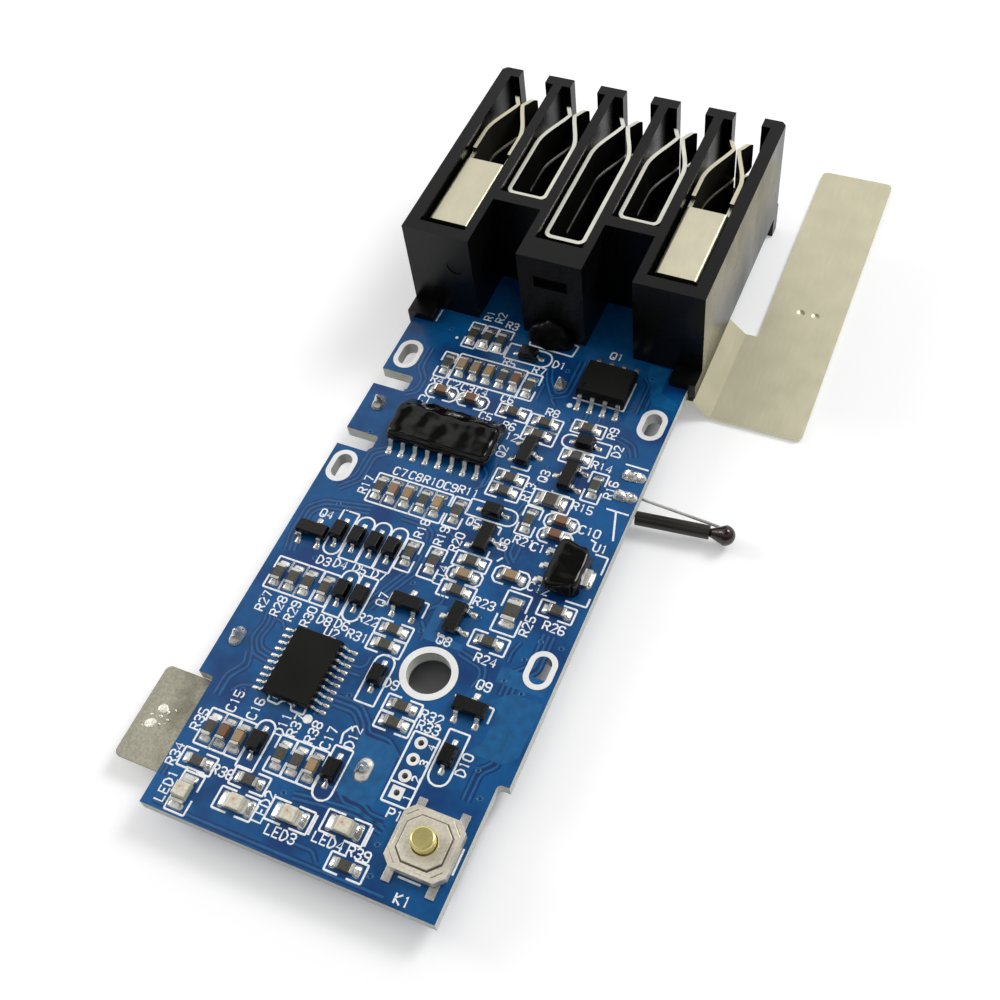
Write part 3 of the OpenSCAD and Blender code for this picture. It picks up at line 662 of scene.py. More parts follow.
@dataclass(frozen=True)
class Finish:
    """A surface finish. Each kind lays out its own nodes."""

    made: ClassVar[dict[str, bpy.types.Material]] = {}
    name: str
    slot: str
    colour: Colour
    roughness: float = 0.5

    def dress(self, graph: Graph) -> None:
        """Lays out the nodes of this finish."""
        raise NotImplementedError

    def material(self) -> bpy.types.Material:
        """The finish's material, made once."""
        if self.name not in self.made:
            graph = Graph(f"finish_{self.name}")
            self.dress(graph)
            self.made[self.name] = graph.material
        return self.made[self.name]


def shade(colour: Sequence[float], factor: float) -> Colour:
    """A colour made lighter or darker."""
    return tuple(min(1.0, c * factor) for c in colour)


@dataclass(frozen=True)
class SolderMask(Finish):
    """Glossy lacquer over the laminate, with the bare laminate on the board's edges."""

    thickness: float = 1.3
    deep: Colour = (0.0008, 0.040, 0.165)
    laminate: Colour = (0.86, 0.87, 0.79)

    def dress(self, graph: Graph) -> None:
        """Mottled lacquer on both faces and layered laminate between them."""
        patches = graph.cloud(6.0, 3.0)
        fine = graph.cloud(0.5, 4.0)
        light = shade(self.colour, 1.25)
        lacquer = graph.ramp(patches, [(0.38, self.deep), (0.5, self.colour), (0.62, light)])
        lacquer = graph.mix(graph.span(fine, 0.35, 0.7, 0.0, 0.3), lacquer, self.deep)
        layers = graph.cloud(0.35, 3.0, (1, 1, 5))
        edge = graph.ramp(layers, [(0.3, shade(self.laminate, 0.66)), (0.7, self.laminate)])
        top = graph.height_above(-0.05)
        bottom = graph.height_above(-self.thickness + 0.05)
        inside = graph.math("SUBTRACT", bottom, top)
        graph.set(
            Base_Color=graph.mix(inside, lacquer, edge),
            Roughness=graph.span(inside, 0.0, 1.0, self.roughness, 0.75),
            Specular_IOR_Level=0.38,
            Normal=graph.bump(fine, 0.01, graph.bump(patches, 0.05)),
        )


@dataclass(frozen=True)
class CoveredCopper(Finish):
    """Lacquer where copper, or a gap in it, lies under it."""

    def dress(self, graph: Graph) -> None:
        """Even lacquer with faint unevenness."""
        fine = graph.cloud(0.8, 3.0)
        graph.set(
            Base_Color=graph.ramp(fine, [(0.3, shade(self.colour, 0.8)), (0.7, shade(self.colour, 1.15))]),
            Roughness=self.roughness,
            Specular_IOR_Level=0.5,
            Normal=graph.bump(fine, 0.008),
        )


@dataclass(frozen=True)
class LegendInk(Finish):
    """Screen-printed ink."""

    def dress(self, graph: Graph) -> None:
        """Slightly starved white ink."""
        starved = graph.cloud(0.25, 4.0)
        graph.set(
            Base_Color=graph.ramp(starved, [(0.28, shade(self.colour, 0.72)), (0.5, self.colour)]),
            Roughness=self.roughness,
            Normal=graph.bump(starved, 0.006),
        )


@dataclass(frozen=True)
class BareMetal(Finish):
    """Metal with grain along one direction, smears and fine scratches, and, where set, painted shade on its
    faces that do not look up.
    """

    grain: Triple = (1.0, 1.0, 1.0)
    grain_size: float = 0.5
    grain_depth: float = 0.006
    smear: float = 0.15
    tarnish: float = 0.8
    wave: float = 0.0
    metallic: float = 1.0
    # Share of the colour kept on faces that do not look up: painted shade on the flanks, which are also
    # made less metallic; 1 paints none.
    painted_flank_shade: float = 1.0
    speckle: float = 0.0

    def dress(self, graph: Graph) -> None:
        """Grained metal, smeared and a little tarnished, with painted shade on its flanks where set."""
        smears = graph.cloud(3.0, 3.0)
        grain = graph.cloud(self.grain_size, 4.0, self.grain)
        fine = graph.cloud(0.12, 2.0)
        swell = graph.cloud(4.5, 1.0)
        colour = graph.ramp(smears, [(0.36, shade(self.colour, self.tarnish)), (0.6, self.colour)])
        colour = graph.mix(graph.span(grain, 0.3, 0.7, 0.0, 0.35), colour, shade(self.colour, 0.84))
        if self.speckle:
            spots = graph.span(graph.cloud(0.22, 5.0), 0.42, 0.62, 0.0, self.speckle)
            colour = graph.mix(spots, colour, shade(self.colour, 0.3))
        metallic: object = self.metallic
        # Painted shade: faces that do not look up are darkened and made less metallic.
        if self.painted_flank_shade < 1:
            upward = graph.facing_up()
            colour = graph.mix(upward, shade(self.colour, self.painted_flank_shade), colour)
            metallic = graph.span(upward, 0.0, 1.0, 0.3, self.metallic)
        normal = graph.bump(grain, self.grain_depth, graph.bump(swell, self.wave))
        graph.set(
            Base_Color=colour,
            Metallic=metallic,
            Roughness=graph.span(smears, 0.3, 0.7, self.roughness, self.roughness + self.smear),
            Normal=graph.bump(fine, self.grain_depth * 0.3, normal),
        )


@dataclass(frozen=True)
class MouldedPlastic(Finish):
    """Injection-moulded plastic with a fine skin, flow marks and dust."""

    specular: float = 0.4
    skin: float = 0.008
    dust: float = 0.05

    def dress(self, graph: Graph) -> None:
        """Fine skin, cloudy gloss and a little dust."""
        flow = graph.cloud(4.0, 2.0, (1, 1, 0.5))
        skin = graph.cloud(0.18, 3.0)
        specks = graph.span(graph.cloud(0.3, 5.0), 0.68, 0.74, 0.0, self.dust)
        body = graph.ramp(flow, [(0.35, shade(self.colour, 0.8)), (0.65, shade(self.colour, 1.2))])
        graph.set(
            Base_Color=graph.mix(specks, body, (0.35, 0.34, 0.32)),
            Roughness=graph.span(flow, 0.3, 0.7, self.roughness - 0.05, self.roughness + 0.08),
            Specular_IOR_Level=self.specular,
            Normal=graph.bump(skin, self.skin),
        )


@dataclass(frozen=True)
class ChipGlaze(Finish):
    """Chip resistor: dark glaze on top of white ceramic."""

    glaze_level: float = 0.36
    ceramic: Colour = (0.20, 0.19, 0.16)

    def dress(self, graph: Graph) -> None:
        """Dark glaze above the ceramic, level by level."""
        fine = graph.cloud(0.2, 3.0)
        above = graph.height_above(self.glaze_level, 0.015)
        glaze = graph.ramp(fine, [(0.3, shade(self.colour, 0.7)), (0.7, shade(self.colour, 1.5))])
        graph.set(
            Base_Color=graph.mix(above, self.ceramic, glaze),
            Roughness=graph.span(above, 0.0, 1.0, 0.6, self.roughness),
            Specular_IOR_Level=0.5,
            Normal=graph.bump(fine, 0.01),
        )


@dataclass(frozen=True)
class FiredCeramic(Finish):
    """Chip capacitor ceramic, which differs in tone from part to part."""

    pale: Colour = (0.42, 0.29, 0.15)

    def dress(self, graph: Graph) -> None:
        """Tone by part, with a fine fired grain."""
        tone = graph.put("ShaderNodeNewGeometry").outputs["Random Per Island"]
        grain = graph.cloud(0.12, 4.0)
        body = graph.ramp(tone, [(0.3, self.colour), (0.85, self.pale)])
        graph.set(
            Base_Color=graph.mix(graph.span(grain, 0.3, 0.7, 0.0, 0.35), body, shade(self.colour, 0.5)),
            Roughness=self.roughness,
            Normal=graph.bump(grain, 0.006),
        )


@dataclass(frozen=True)
class PouredGloss(Finish):
    """Thick glossy resin or rubber that was poured by hand."""

    specular: float = 0.5
    swirl: float = 0.03

    def dress(self, graph: Graph) -> None:
        """Deep colour under a wavy glossy skin."""
        wave = graph.cloud(1.4, 2.0)
        dust = graph.span(graph.cloud(0.2, 5.0), 0.68, 0.76, 0.0, 0.15)
        graph.set(
            Base_Color=graph.mix(dust, self.colour, (0.3, 0.29, 0.27)),
            Roughness=graph.span(wave, 0.3, 0.7, self.roughness, self.roughness + 0.1),
            Specular_IOR_Level=self.specular,
            Normal=graph.bump(wave, self.swirl),
        )


@dataclass(frozen=True)
class ClearLens(Finish):
    """Cloudy resin of a light-emitting diode, with the die's tint from the piece's own attribute."""

    die: Colour = (0.62, 0.20, 0.12)

    def dress(self, graph: Graph) -> None:
        """Milky resin that lets a little light through."""
        cloudy = graph.cloud(0.25, 3.0)
        tint = graph.put("ShaderNodeAttribute", {"attribute_name": "tint"}).outputs["Fac"]
        resin = graph.ramp(cloudy, [(0.3, shade(self.colour, 0.72)), (0.7, self.colour)])
        graph.set(
            Base_Color=graph.mix(tint, resin, self.die),
            Roughness=self.roughness,
            Subsurface_Weight=0.25,
            Subsurface_Radius=(0.0006, 0.0005, 0.0003),
            Normal=graph.bump(cloudy, 0.02),
            Coat_Weight=0.5,
            Coat_Roughness=0.1,
        )


class Palette:
    """The finishes of this board."""

    mask = SolderMask("blue_lacquer", "solder_mask_board", (0.0008, 0.080, 0.240), 0.24)
    covered = CoveredCopper("lacquer_over_copper", "solder_mask_board", (0.004, 0.105, 0.285), 0.24)
    gaps = CoveredCopper("lacquer_over_gaps", "solder_mask_board", (0.0006, 0.034, 0.140), 0.24)
    plugged = CoveredCopper("lacquer_over_holes", "solder_mask_board", (0.001, 0.018, 0.08), 0.3)
    ink = LegendInk("legend_ink", "solder_mask_board", (0.98, 0.98, 0.98), 0.55)
    # The hole plating's walls that do not look up keep 0.6 of its colour: painted shade.
    plating = BareMetal(
        "hole_plating", "tinned_copper", (0.94, 0.94, 0.92), 0.45, grain_depth=0.004, tarnish=0.95,
        metallic=0.4, painted_flank_shade=0.6,
    )
    tin = BareMetal(
        "tinned_copper", "tinned_copper", (0.88, 0.87, 0.82), 0.22, grain_size=0.3, grain_depth=0.012,
        tarnish=0.6, metallic=0.82,
    )
    solder = BareMetal(
        "solder", "solder", (0.93, 0.92, 0.87), 0.14, grain_size=0.35, grain_depth=0.03, smear=0.12,
        tarnish=0.62, metallic=0.86, speckle=0.1,
    )
    # The fork contacts and plates are nearly black on their faces that do not look up: painted shade.
    contact = BareMetal(
        "tin_plated_bronze", "tin_plated_bronze", (0.86, 0.84, 0.73), 0.3, (1, 0.2, 1), 0.3, painted_flank_shade=0.01,
    )
    plate = BareMetal(
        "bare_bronze_plate", "tin_plated_bronze", (0.74, 0.70, 0.525), 0.36, (1, 0.3, 1), 0.4, 0.01,
        tarnish=0.93, painted_flank_shade=0.05,
    )
    nickel = BareMetal(
        "nickel", "nickel_strip", (0.66, 0.625, 0.45), 0.34, (1, 0.15, 1), 0.3, 0.008, 0.06, 0.95, 0.05,
    )
    dull_nickel = BareMetal(
        "dull_nickel", "nickel_strip", (0.45, 0.425, 0.335), 0.36, (1, 1, 1), 0.3, 0.02, 0.2, 0.62, 0.25,
        speckle=0.28,
    )
    weld = BareMetal(
        "weld_splash", "nickel_strip", (0.88, 0.85, 0.74), 0.38, grain_size=0.15, grain_depth=0.05,
    )
    nylon = MouldedPlastic(
        "black_nylon", "glass_filled_nylon", (0.0035, 0.0034, 0.003), 0.26, 0.2, 0.006, 0.04,
    )
    epoxy = MouldedPlastic(
        "package_epoxy", "package_epoxy", (0.006, 0.006, 0.0042), 0.38, 0.16, 0.012, 0.02,
    )
    small_epoxy = MouldedPlastic(
        "small_package_epoxy", "package_epoxy", (0.0032, 0.0031, 0.0026), 0.2, 0.34, 0.015,
    )
    coating = PouredGloss("poured_epoxy", "coating_epoxy", (0.003, 0.003, 0.0024), 0.045, 0.32, 0.035)
    glaze = ChipGlaze("resistor_glaze", "resistor_glaze", (0.060, 0.055, 0.042), 0.3)
    ceramic = FiredCeramic("capacitor_ceramic", "ceramic", (0.20, 0.095, 0.048), 0.5)
    led_board = MouldedPlastic("led_laminate", "led_laminate", (0.66, 0.62, 0.46), 0.5, 0.4, 0.006, 0.0)
    lens = ClearLens("led_resin", "led_lens", (0.84, 0.80, 0.64), 0.3)
    switch_resin = MouldedPlastic("switch_resin", "switch_resin", (0.62, 0.59, 0.50), 0.45, 0.4, 0.008, 0.0)
    switch_steel = BareMetal(
        "switch_steel", "switch_steel", (0.95, 0.88, 0.73), 0.28, (1, 1, 1), 0.22, 0.02, 0.15, 0.78,
        metallic=0.65, speckle=0.16,
    )
    # Dark ring round the switch cover's raised middle: painted shadow at the foot of its wall.
    cover_shadow_paint = BareMetal("switch_painted_shadow", "switch_steel", (0.13, 0.11, 0.08), 0.4, metallic=0.5)
    brass = BareMetal(
        "button_brass", "switch_brass", (0.96, 0.84, 0.34), 0.2, grain_size=0.3, smear=0.1, metallic=0.8,
    )
    sealant = PouredGloss("black_sealant", "sealant", (0.0024, 0.0024, 0.0022), 0.3, 0.13, 0.12)
    bead = PouredGloss("bead_resin", "bead_resin", (0.020, 0.0075, 0.006), 0.08, 0.6, 0.01)
    sleeve = MouldedPlastic("sleeve_plastic", "sleeve_plastic", (0.021, 0.018, 0.014), 0.3, 0.4)


# --------------------------------------------------------------------------- line work


class End(Enum):
    """Shape of a printed outline."""

    OPEN = 0
    CLOSED = 1
    CHAMFERED = 2
    ROUND_LEFT = 3
    ROUND_RIGHT = 4
    ROUND_TOP = 5
    ROUND_BOTTOM = 6


def line_work(name: str, paths: Sequence[Stroke], width: float, height: float) -> Piece:
    """Draws ribbons with soft edges along paths.

    Args:
        name: Name of the piece.
        paths: Each a list of points and whether it closes on itself.
        width: Width of the ribbon.
        height: How far the ribbon stands up from its path.

    Returns:
        The ribbons as one mesh.
    """
    curve = bpy.data.curves.new(name, "CURVE")
    curve.dimensions = "3D"
    curve.bevel_depth = width / 2
    curve.bevel_resolution = 1
    curve.use_fill_caps = True
    level = paths[0][0][0].z
    for points, closed in paths:
        spline = curve.splines.new("POLY")
        spline.points.add(len(points) - 1)
        for slot, point in zip(spline.points, points):
            slot.co = (point.x, point.y, 0, 1)
        spline.use_cyclic_u = closed
    piece = bpy.data.objects.new(name, curve)
    bpy.context.scene.collection.objects.link(piece)
    take(piece)
    bpy.ops.object.convert(target="MESH")
    piece = bpy.context.object
    piece.data.transform(Matrix.Translation((0, 0, level)) @ Matrix.Diagonal((1, 1, 2 * height / width, 1)))
    smooth_all(piece, 60)
    return piece


def eased(points: Sequence[Vector], closed: bool, radius: float) -> list[Vector]:
    """Rounds the corners of a path.

    Args:
        points: Corners of the path.
        closed: Whether the path closes on itself.
        radius: How far from each corner the rounding starts.

    Returns:
        The path with each corner cut into short steps.
    """
    made: list[Vector] = []
    count = len(points)
    for index, corner in enumerate(points):
        if not closed and index in (0, count - 1):
            made.append(corner)
            continue
        before, after = points[index - 1], points[(index + 1) % count]
        back, ahead = before - corner, after - corner
        cut = min(radius, back.length / 2.2, ahead.length / 2.2)
        start, end = corner + back.normalized() * cut, corner + ahead.normalized() * cut
        made += [start, (start + end) / 4 + corner / 2, end]
    return made


def clipped_square(reach: float, corner: float) -> list[Vector]:
    """Corners of a square round the origin whose corners are cut off.

    Args:
        reach: From the middle to each side.
        corner: How much is cut off along each side.

    Returns:
        Its eight corners in order.
    """
    quarter = [Vector((reach, reach - corner, 0)), Vector((reach - corner, reach, 0))]
    ring: list[Vector] = []
    for _ in range(4):
        ring += quarter
        quarter = [Vector((-p.y, p.x, 0)) for p in quarter]
    return ring


def sideways(points: Sequence[Vector], distance: float) -> list[Vector]:
    """Shifts a path to its left.

    Args:
        points: Points of the path.
        distance: How far it is shifted.

    Returns:
        The shifted path.
    """
    made: list[Vector] = []
    for index, point in enumerate(points):
        back = (point - points[index - 1]).normalized() if index else Vector()
        ahead = (points[index + 1] - point).normalized() if index < len(points) - 1 else Vector()
        along = (back + ahead).normalized()
        left = Vector((-along.y, along.x, 0))
        lean = max(LEAST_LEAN, along.dot(ahead if ahead.length else back))
        made.append(point + left * distance / lean)
    return made


# --------------------------------------------------------------------------- the board


Outline = tuple[float, float, float, float, End]
Path = tuple[tuple[float, float], ...]


@dataclass(frozen=True)
class StrokeLetters:
    """Single-stroke capitals and digits on a grid four wide and six high."""

    width: float = 0.5
    height: float = 0.82
    advance: float = 0.69
    strokes: tuple[tuple[str, str], ...] = (
        ("R", "00 06 36 45 44 33 03/23 40"), ("C", "45 36 16 05 01 10 30 41"),
        ("D", "00 06 26 44 42 20 00"), ("L", "06 00 40"),
        ("Q", "10 30 41 45 36 16 05 01 10/22 40"), ("U", "06 01 10 30 41 46"),
        ("E", "46 06 00 40/03 33"), ("K", "00 06/46 03 40"), ("P", "00 06 36 45 44 33 03"),
        ("0", "10 30 41 45 36 16 05 01 10"), ("1", "15 26 20"), ("2", "05 16 36 45 44 00 40"),
        ("3", "05 16 36 45 44 33 42 41 30 10 01/33 13"), ("4", "30 36 02 42"),
        ("5", "46 06 03 33 42 41 30 10 01"), ("6", "45 36 16 05 01 10 30 41 42 33 03"), ("7", "06 46 20"),
        ("8", "13 04 05 16 36 45 44 33 13 02 01 10 30 41 42 33"), ("9", "01 10 30 41 45 36 16 05 04 13 43"),
    )

    def paths(self, word: str, middle: Vector, upright: bool) -> list[Stroke]:
        """Strokes of a word.

        Args:
            word: Capitals and digits.
            middle: Middle of the word.
            upright: False turns the word a quarter turn to the left.

        Returns:
            Open paths for line work.
        """
        shapes = dict(self.strokes)
        start = -(self.advance * (len(word) - 1) + self.width) / 2
        made: list[Stroke] = []
        for index, letter in enumerate(word):
            for stroke in shapes[letter].split("/"):
                points = []
                for pair in stroke.split():
                    x = start + index * self.advance + int(pair[0]) / 4 * self.width
                    y = (int(pair[1]) / 6 - 0.5) * self.height
                    points.append(middle + (Vector((x, y, 0)) if upright else Vector((-y, x, 0))))
                made.append((points, False))
        return made


@dataclass
class Legend:
    """Printed outlines, dots and designators on the component face."""

    datum: Datum
    line: float = 0.18
    letter_line: float = 0.155
    thickness: float = 0.032
    gap: float = 0.38
    chamfer: float = 0.4
    end_share: float = 0.46
    corner_steps: tuple[float, ...] = (-0.78, -0.26, 0.26, 0.78)
    easing: float = 0.1
    dot_edge: float = 0.2
    row_height: float = 8.0
    outlines: tuple[Outline, ...] = (
        (-8.3, 52.2, -6.9, 55.45, End.OPEN), (-6.7, 52.4, -5.45, 55.45, End.OPEN),
        (-5.35, 52.5, -3.85, 55.45, End.OPEN), (-3.65, 52.2, 1.0, 54.1, End.ROUND_RIGHT),
        (-9.3, 47.9, -7.95, 51.05, End.OPEN), (-7.75, 48.0, -0.65, 51.3, End.CLOSED),
        (-0.6, 48.0, 0.95, 51.2, End.OPEN), (-9.1, 45.35, -5.95, 47.05, End.CHAMFERED),
        (-5.8, 45.4, -2.7, 47.0, End.CHAMFERED), (-1.6, 45.4, 1.55, 46.95, End.OPEN),
        (1.7, 45.2, 4.9, 46.75, End.OPEN), (1.7, 43.65, 4.9, 45.2, End.OPEN),
        (5.8, 46.0, 8.95, 47.45, End.OPEN), (5.5, 44.15, 10.1, 45.65, End.ROUND_LEFT),
        (6.0, 42.5, 8.95, 44.0, End.OPEN), (9.5, 39.1, 11.1, 42.4, End.OPEN),
        (-8.95, 32.4, -7.45, 35.65, End.OPEN), (-7.45, 32.4, -5.95, 35.65, End.OPEN),
        (-5.95, 32.4, -4.5, 35.65, End.OPEN), (-4.5, 32.4, -3.0, 35.65, End.OPEN),
        (-3.0, 32.4, -1.4, 35.65, End.OPEN), (-1.15, 32.4, 0.4, 35.65, End.OPEN),
        (-10.2, 26.1, -8.6, 30.8, End.ROUND_BOTTOM), (-8.4, 26.1, -6.75, 30.8, End.ROUND_TOP),
        (-6.65, 26.1, -5.05, 30.8, End.ROUND_TOP), (-4.95, 26.1, -3.4, 30.8, End.ROUND_TOP),
        (-3.3, 26.8, -1.75, 30.05, End.OPEN), (-1.0, 26.8, 0.6, 30.05, End.OPEN),
        (1.15, 38.35, 4.3, 39.85, End.OPEN), (1.15, 36.8, 4.3, 38.35, End.OPEN),
        (5.3, 37.1, 9.05, 38.9, End.OPEN), (5.3, 33.85, 6.9, 36.95, End.OPEN),
        (7.35, 35.4, 10.5, 36.95, End.CHAMFERED), (7.35, 33.85, 10.5, 35.35, End.CHAMFERED),
        (0.35, 34.2, 5.1, 35.95, End.ROUND_RIGHT), (1.4, 29.0, 4.65, 30.5, End.OPEN),
        (1.4, 27.45, 4.65, 29.0, End.CHAMFERED), (1.4, 25.75, 4.65, 27.4, End.OPEN),
        (5.3, 28.65, 8.55, 30.35, End.CHAMFERED), (7.25, 24.2, 9.45, 28.3, End.OPEN),
        (10.3, 26.95, 13.5, 28.5, End.OPEN), (-13.35, 21.1, -11.85, 24.4, End.OPEN),
        (-11.85, 21.1, -10.35, 24.4, End.OPEN), (-10.35, 21.1, -8.75, 24.4, End.OPEN),
        (-8.7, 21.1, -7.2, 24.4, End.OPEN), (-7.1, 20.6, -5.5, 25.3, End.ROUND_TOP),
        (-5.4, 20.6, -3.85, 25.2, End.ROUND_BOTTOM), (-2.0, 20.45, 1.2, 21.95, End.OPEN),
        (-2.0, 18.85, 1.2, 20.4, End.OPEN), (-0.65, 14.2, 1.15, 18.9, End.ROUND_TOP),
        (6.05, 22.15, 9.35, 23.8, End.OPEN), (1.85, 14.25, 5.0, 15.8, End.OPEN),
        (1.85, 12.7, 5.0, 14.2, End.OPEN), (7.9, 9.9, 9.7, 14.75, End.ROUND_BOTTOM),
        (-11.45, 6.0, -9.95, 9.3, End.OPEN), (-9.95, 6.0, -8.55, 9.3, End.OPEN),
        (-8.5, 6.0, -7.15, 9.3, End.OPEN), (-7.1, 5.5, -5.5, 10.0, End.ROUND_TOP),
        (-4.8, 6.0, -3.25, 9.3, End.OPEN), (-3.2, 6.0, -1.75, 9.3, End.OPEN),
        (-1.7, 6.0, -0.3, 9.3, End.OPEN), (-0.2, 5.4, 1.45, 10.1, End.ROUND_BOTTOM),
        (-11.75, 3.85, -8.6, 5.5, End.OPEN), (-6.9, 4.0, -3.7, 5.6, End.OPEN),
        (-10.7, 0.25, -8.85, 3.7, End.OPEN), (-7.15, 1.75, -3.65, 3.65, End.OPEN),
        (-2.7, 2.5, 1.05, 4.4, End.OPEN), (1.85, 3.25, 5.6, 5.15, End.OPEN),
        (3.65, 0.65, 6.85, 2.2, End.OPEN), (5.3, 7.3, 7.6, 13.55, End.CLOSED),
    )
    marks: tuple[Path, ...] = (
        ((4.6, 49.75), (9.65, 49.75), (9.65, 53.3)), ((12.0, 44.15), (14.2, 44.15)),
        ((12.1, 39.0), (14.2, 39.0)), ((13.0, 39.0), (13.85, 36.0)),
        ((2.2, 44.0), (2.2, 43.75), (3.9, 43.75)), ((2.2, 40.4), (3.9, 40.4), (3.9, 41.1)),
        ((6.85, 42.45), (8.6, 42.45)), ((6.85, 39.2), (6.85, 39.0), (8.6, 39.0)),
        ((2.35, 33.9), (4.1, 33.9), (4.1, 33.1)), ((2.35, 30.5), (4.1, 30.5), (4.1, 31.3)),
        ((-13.2, 28.4), (-13.2, 26.9)), ((-10.0, 28.4), (-10.0, 27.9)), ((3.35, 25.6), (5.05, 25.6)),
        ((3.35, 22.4), (3.35, 22.1), (4.4, 22.1)), ((1.35, 23.1), (1.35, 24.6), (0.6, 24.6)),
        ((-2.1, 23.2), (-2.1, 24.6), (-1.3, 24.6)), ((10.55, 16.2), (10.55, 17.6), (9.8, 17.6)),
        ((7.05, 17.6), (7.9, 17.6)), ((12.2, 29.0), (14.1, 29.0), (14.1, 29.9)),
        ((14.1, 32.4), (14.1, 34.2), (12.9, 34.2)), ((12.0, 35.5), (12.6, 35.3)),
        ((-7.5, 12.0), (-7.45, 11.55), (-6.5, 11.5), (-6.3, 11.9), (-5.85, 12.1), (-5.35, 11.9),
         (-5.15, 11.45), (-4.0, 11.45), (-4.0, 12.0)), ((-12.0, 54.3), (-12.0, 55.9)),
        ((5.3, 9.05), (7.6, 9.05)), ((1.25, 2.6), (1.25, 4.3)), ((5.8, 3.4), (5.8, 5.0)),
        ((-10.8, 3.95), (-9.1, 3.95)), ((0.1, 10.3), (-0.1, 11.2), (0.35, 12.0)),
        ((9.3, 2.3), (11.2, 2.3)), ((13.1, 3.9), (13.1, 6.1)), ((5.1, 30.6), (5.45, 31.1)),
        ((1.9, 55.95), (2.8, 55.8), (2.65, 54.4), (-1.9, 54.5), (-1.95, 55.3)),
    )
    dots: tuple[Triple, ...] = (
        (-3.45, 11.25, 0.42), (4.65, 48.75, 0.28), (-9.05, 53.0, 0.16),
    )
    upright_labels: tuple[tuple[str, float, float], ...] = (
        ("C", -7.2, 36.35), ("C", -5.6, 36.4), ("R", -3.8, 36.4), ("C", -2.05, 36.4), ("R", -0.3, 36.5),
        ("Q", -11.5, 29.85), ("D", -9.4, 25.3), ("D", -7.8, 25.5), ("D", -5.95, 25.68),
        ("D", -4.1, 25.68), ("D", -6.5, 19.95), ("D", -4.85, 20.1), ("U", -5.35, 19.1),
        ("R", -2.93, 21.35), ("R", -3.1, 19.6), ("Q", 4.05, 21.85), ("R", -4.4, 56.2), ("D", 1.9, 53.0),
        ("Q", 6.75, 55.8), ("R", -2.8, 51.75), ("R", 0.3, 51.75), ("R", -8.6, 47.5), ("C", -6.9, 47.55),
        ("C", -5.4, 47.5), ("C", -3.9, 47.5), ("C", -8.75, 44.9), ("C", -2.35, 44.95), ("C", -1.2, 47.55),
        ("R", 3.5, 47.4), ("R", 0.2, 44.6), ("R", 0.6, 43.5), ("R", 10.1, 43.1), ("R", 10.1, 38.3),
        ("C", 11.6, 36.2), ("C", 8.3, 33.1), ("Q", 1.5, 33.6), ("R", 6.55, 33.25), ("U", 13.1, 34.9),
        ("C", 9.6, 29.3), ("R", 5.8, 26.3), ("R", 12.3, 26.2), ("R", 8.1, 21.4), ("R", -7.75, 4.65),
        ("LED", -0.8, 1.85), ("LED", 3.0, 2.72), ("R", 5.7, 2.72), ("D", 1.65, 16.6), ("Q", 8.95, 19.2),
        ("R", 6.1, 15.1), ("R", 6.25, 14.15), ("P", 6.9, 6.55), ("K", 10.4, 0.75),
    )
    turned_labels: tuple[tuple[str, float, float], ...] = (
        ("R", -9.6, 34.0), ("R", -2.6, 31.4), ("R", -0.6, 31.3), ("R", 0.95, 31.2), ("C", 1.0, 27.6),
        ("R", -12.5, 19.8), ("R", -11.0, 19.8), ("R", -9.6, 19.8), ("R", -8.0, 19.8), ("Q", -2.7, 23.6),
        ("R", -7.1, 56.7), ("R", -5.9, 56.8), ("R", 9.7, 47.0), ("Q", 0.75, 41.7), ("D", 10.8, 45.2),
        ("Q", 5.5, 40.4), ("R", 11.75, 41.0), ("R", 4.8, 38.3), ("R", 10.1, 25.6), ("R", -12.0, 8.0),
        ("C", -10.0, 10.5), ("C", -8.0, 10.5), ("D", -5.15, 10.1), ("R", -4.1, 10.4), ("R", -2.45, 10.4),
        ("C", -1.0, 10.4), ("D", 0.85, 11.2), ("R", -12.3, 4.6), ("LED", -11.5, 1.95),
        ("LED", -3.15, 3.3), ("D", 10.3, 12.3), ("Q", 4.95, 32.4), ("C", 10.3, 31.0),
    )
    numbers: tuple[tuple[str, float, float], ...] = (
        ("1", 7.2, 8.15), ("2", 7.2, 9.8), ("3", 7.2, 11.25), ("4", 7.2, 12.7),
    )

    def outline(self, spec: Outline) -> list[Stroke]:
        """Paths of one printed outline.

        Args:
            spec: Its corners and the shape of its ends.

        Returns:
            One closed path, or two brackets with a gap between them.
        """
        x0, y0, x1, y1, end = spec
        rounded = {
            End.ROUND_LEFT: "13", End.ROUND_RIGHT: "24", End.ROUND_TOP: "34", End.ROUND_BOTTOM: "12",
            End.CHAMFERED: "1234",
        }.get(end, "")
        chamfered = end is End.CHAMFERED
        reach = self.chamfer if chamfered else min(x1 - x0, y1 - y0) * self.end_share
        steps = (self.corner_steps[0], self.corner_steps[-1]) if chamfered else self.corner_steps

        def corner(key: str, x: float, y: float) -> list[Vector]:
            """One corner, cut in steps where it is round."""
            if key not in rounded:
                return [self.datum.at(x, y)]
            cx, cy = (x0 + reach if x == x0 else x1 - reach), (y0 + reach if y == y0 else y1 - reach)
            base = math.atan2(y - cy, x - cx)
            return [
                self.datum.at(cx + reach * math.cos(base + step), cy + reach * math.sin(base + step))
                for step in steps
            ]

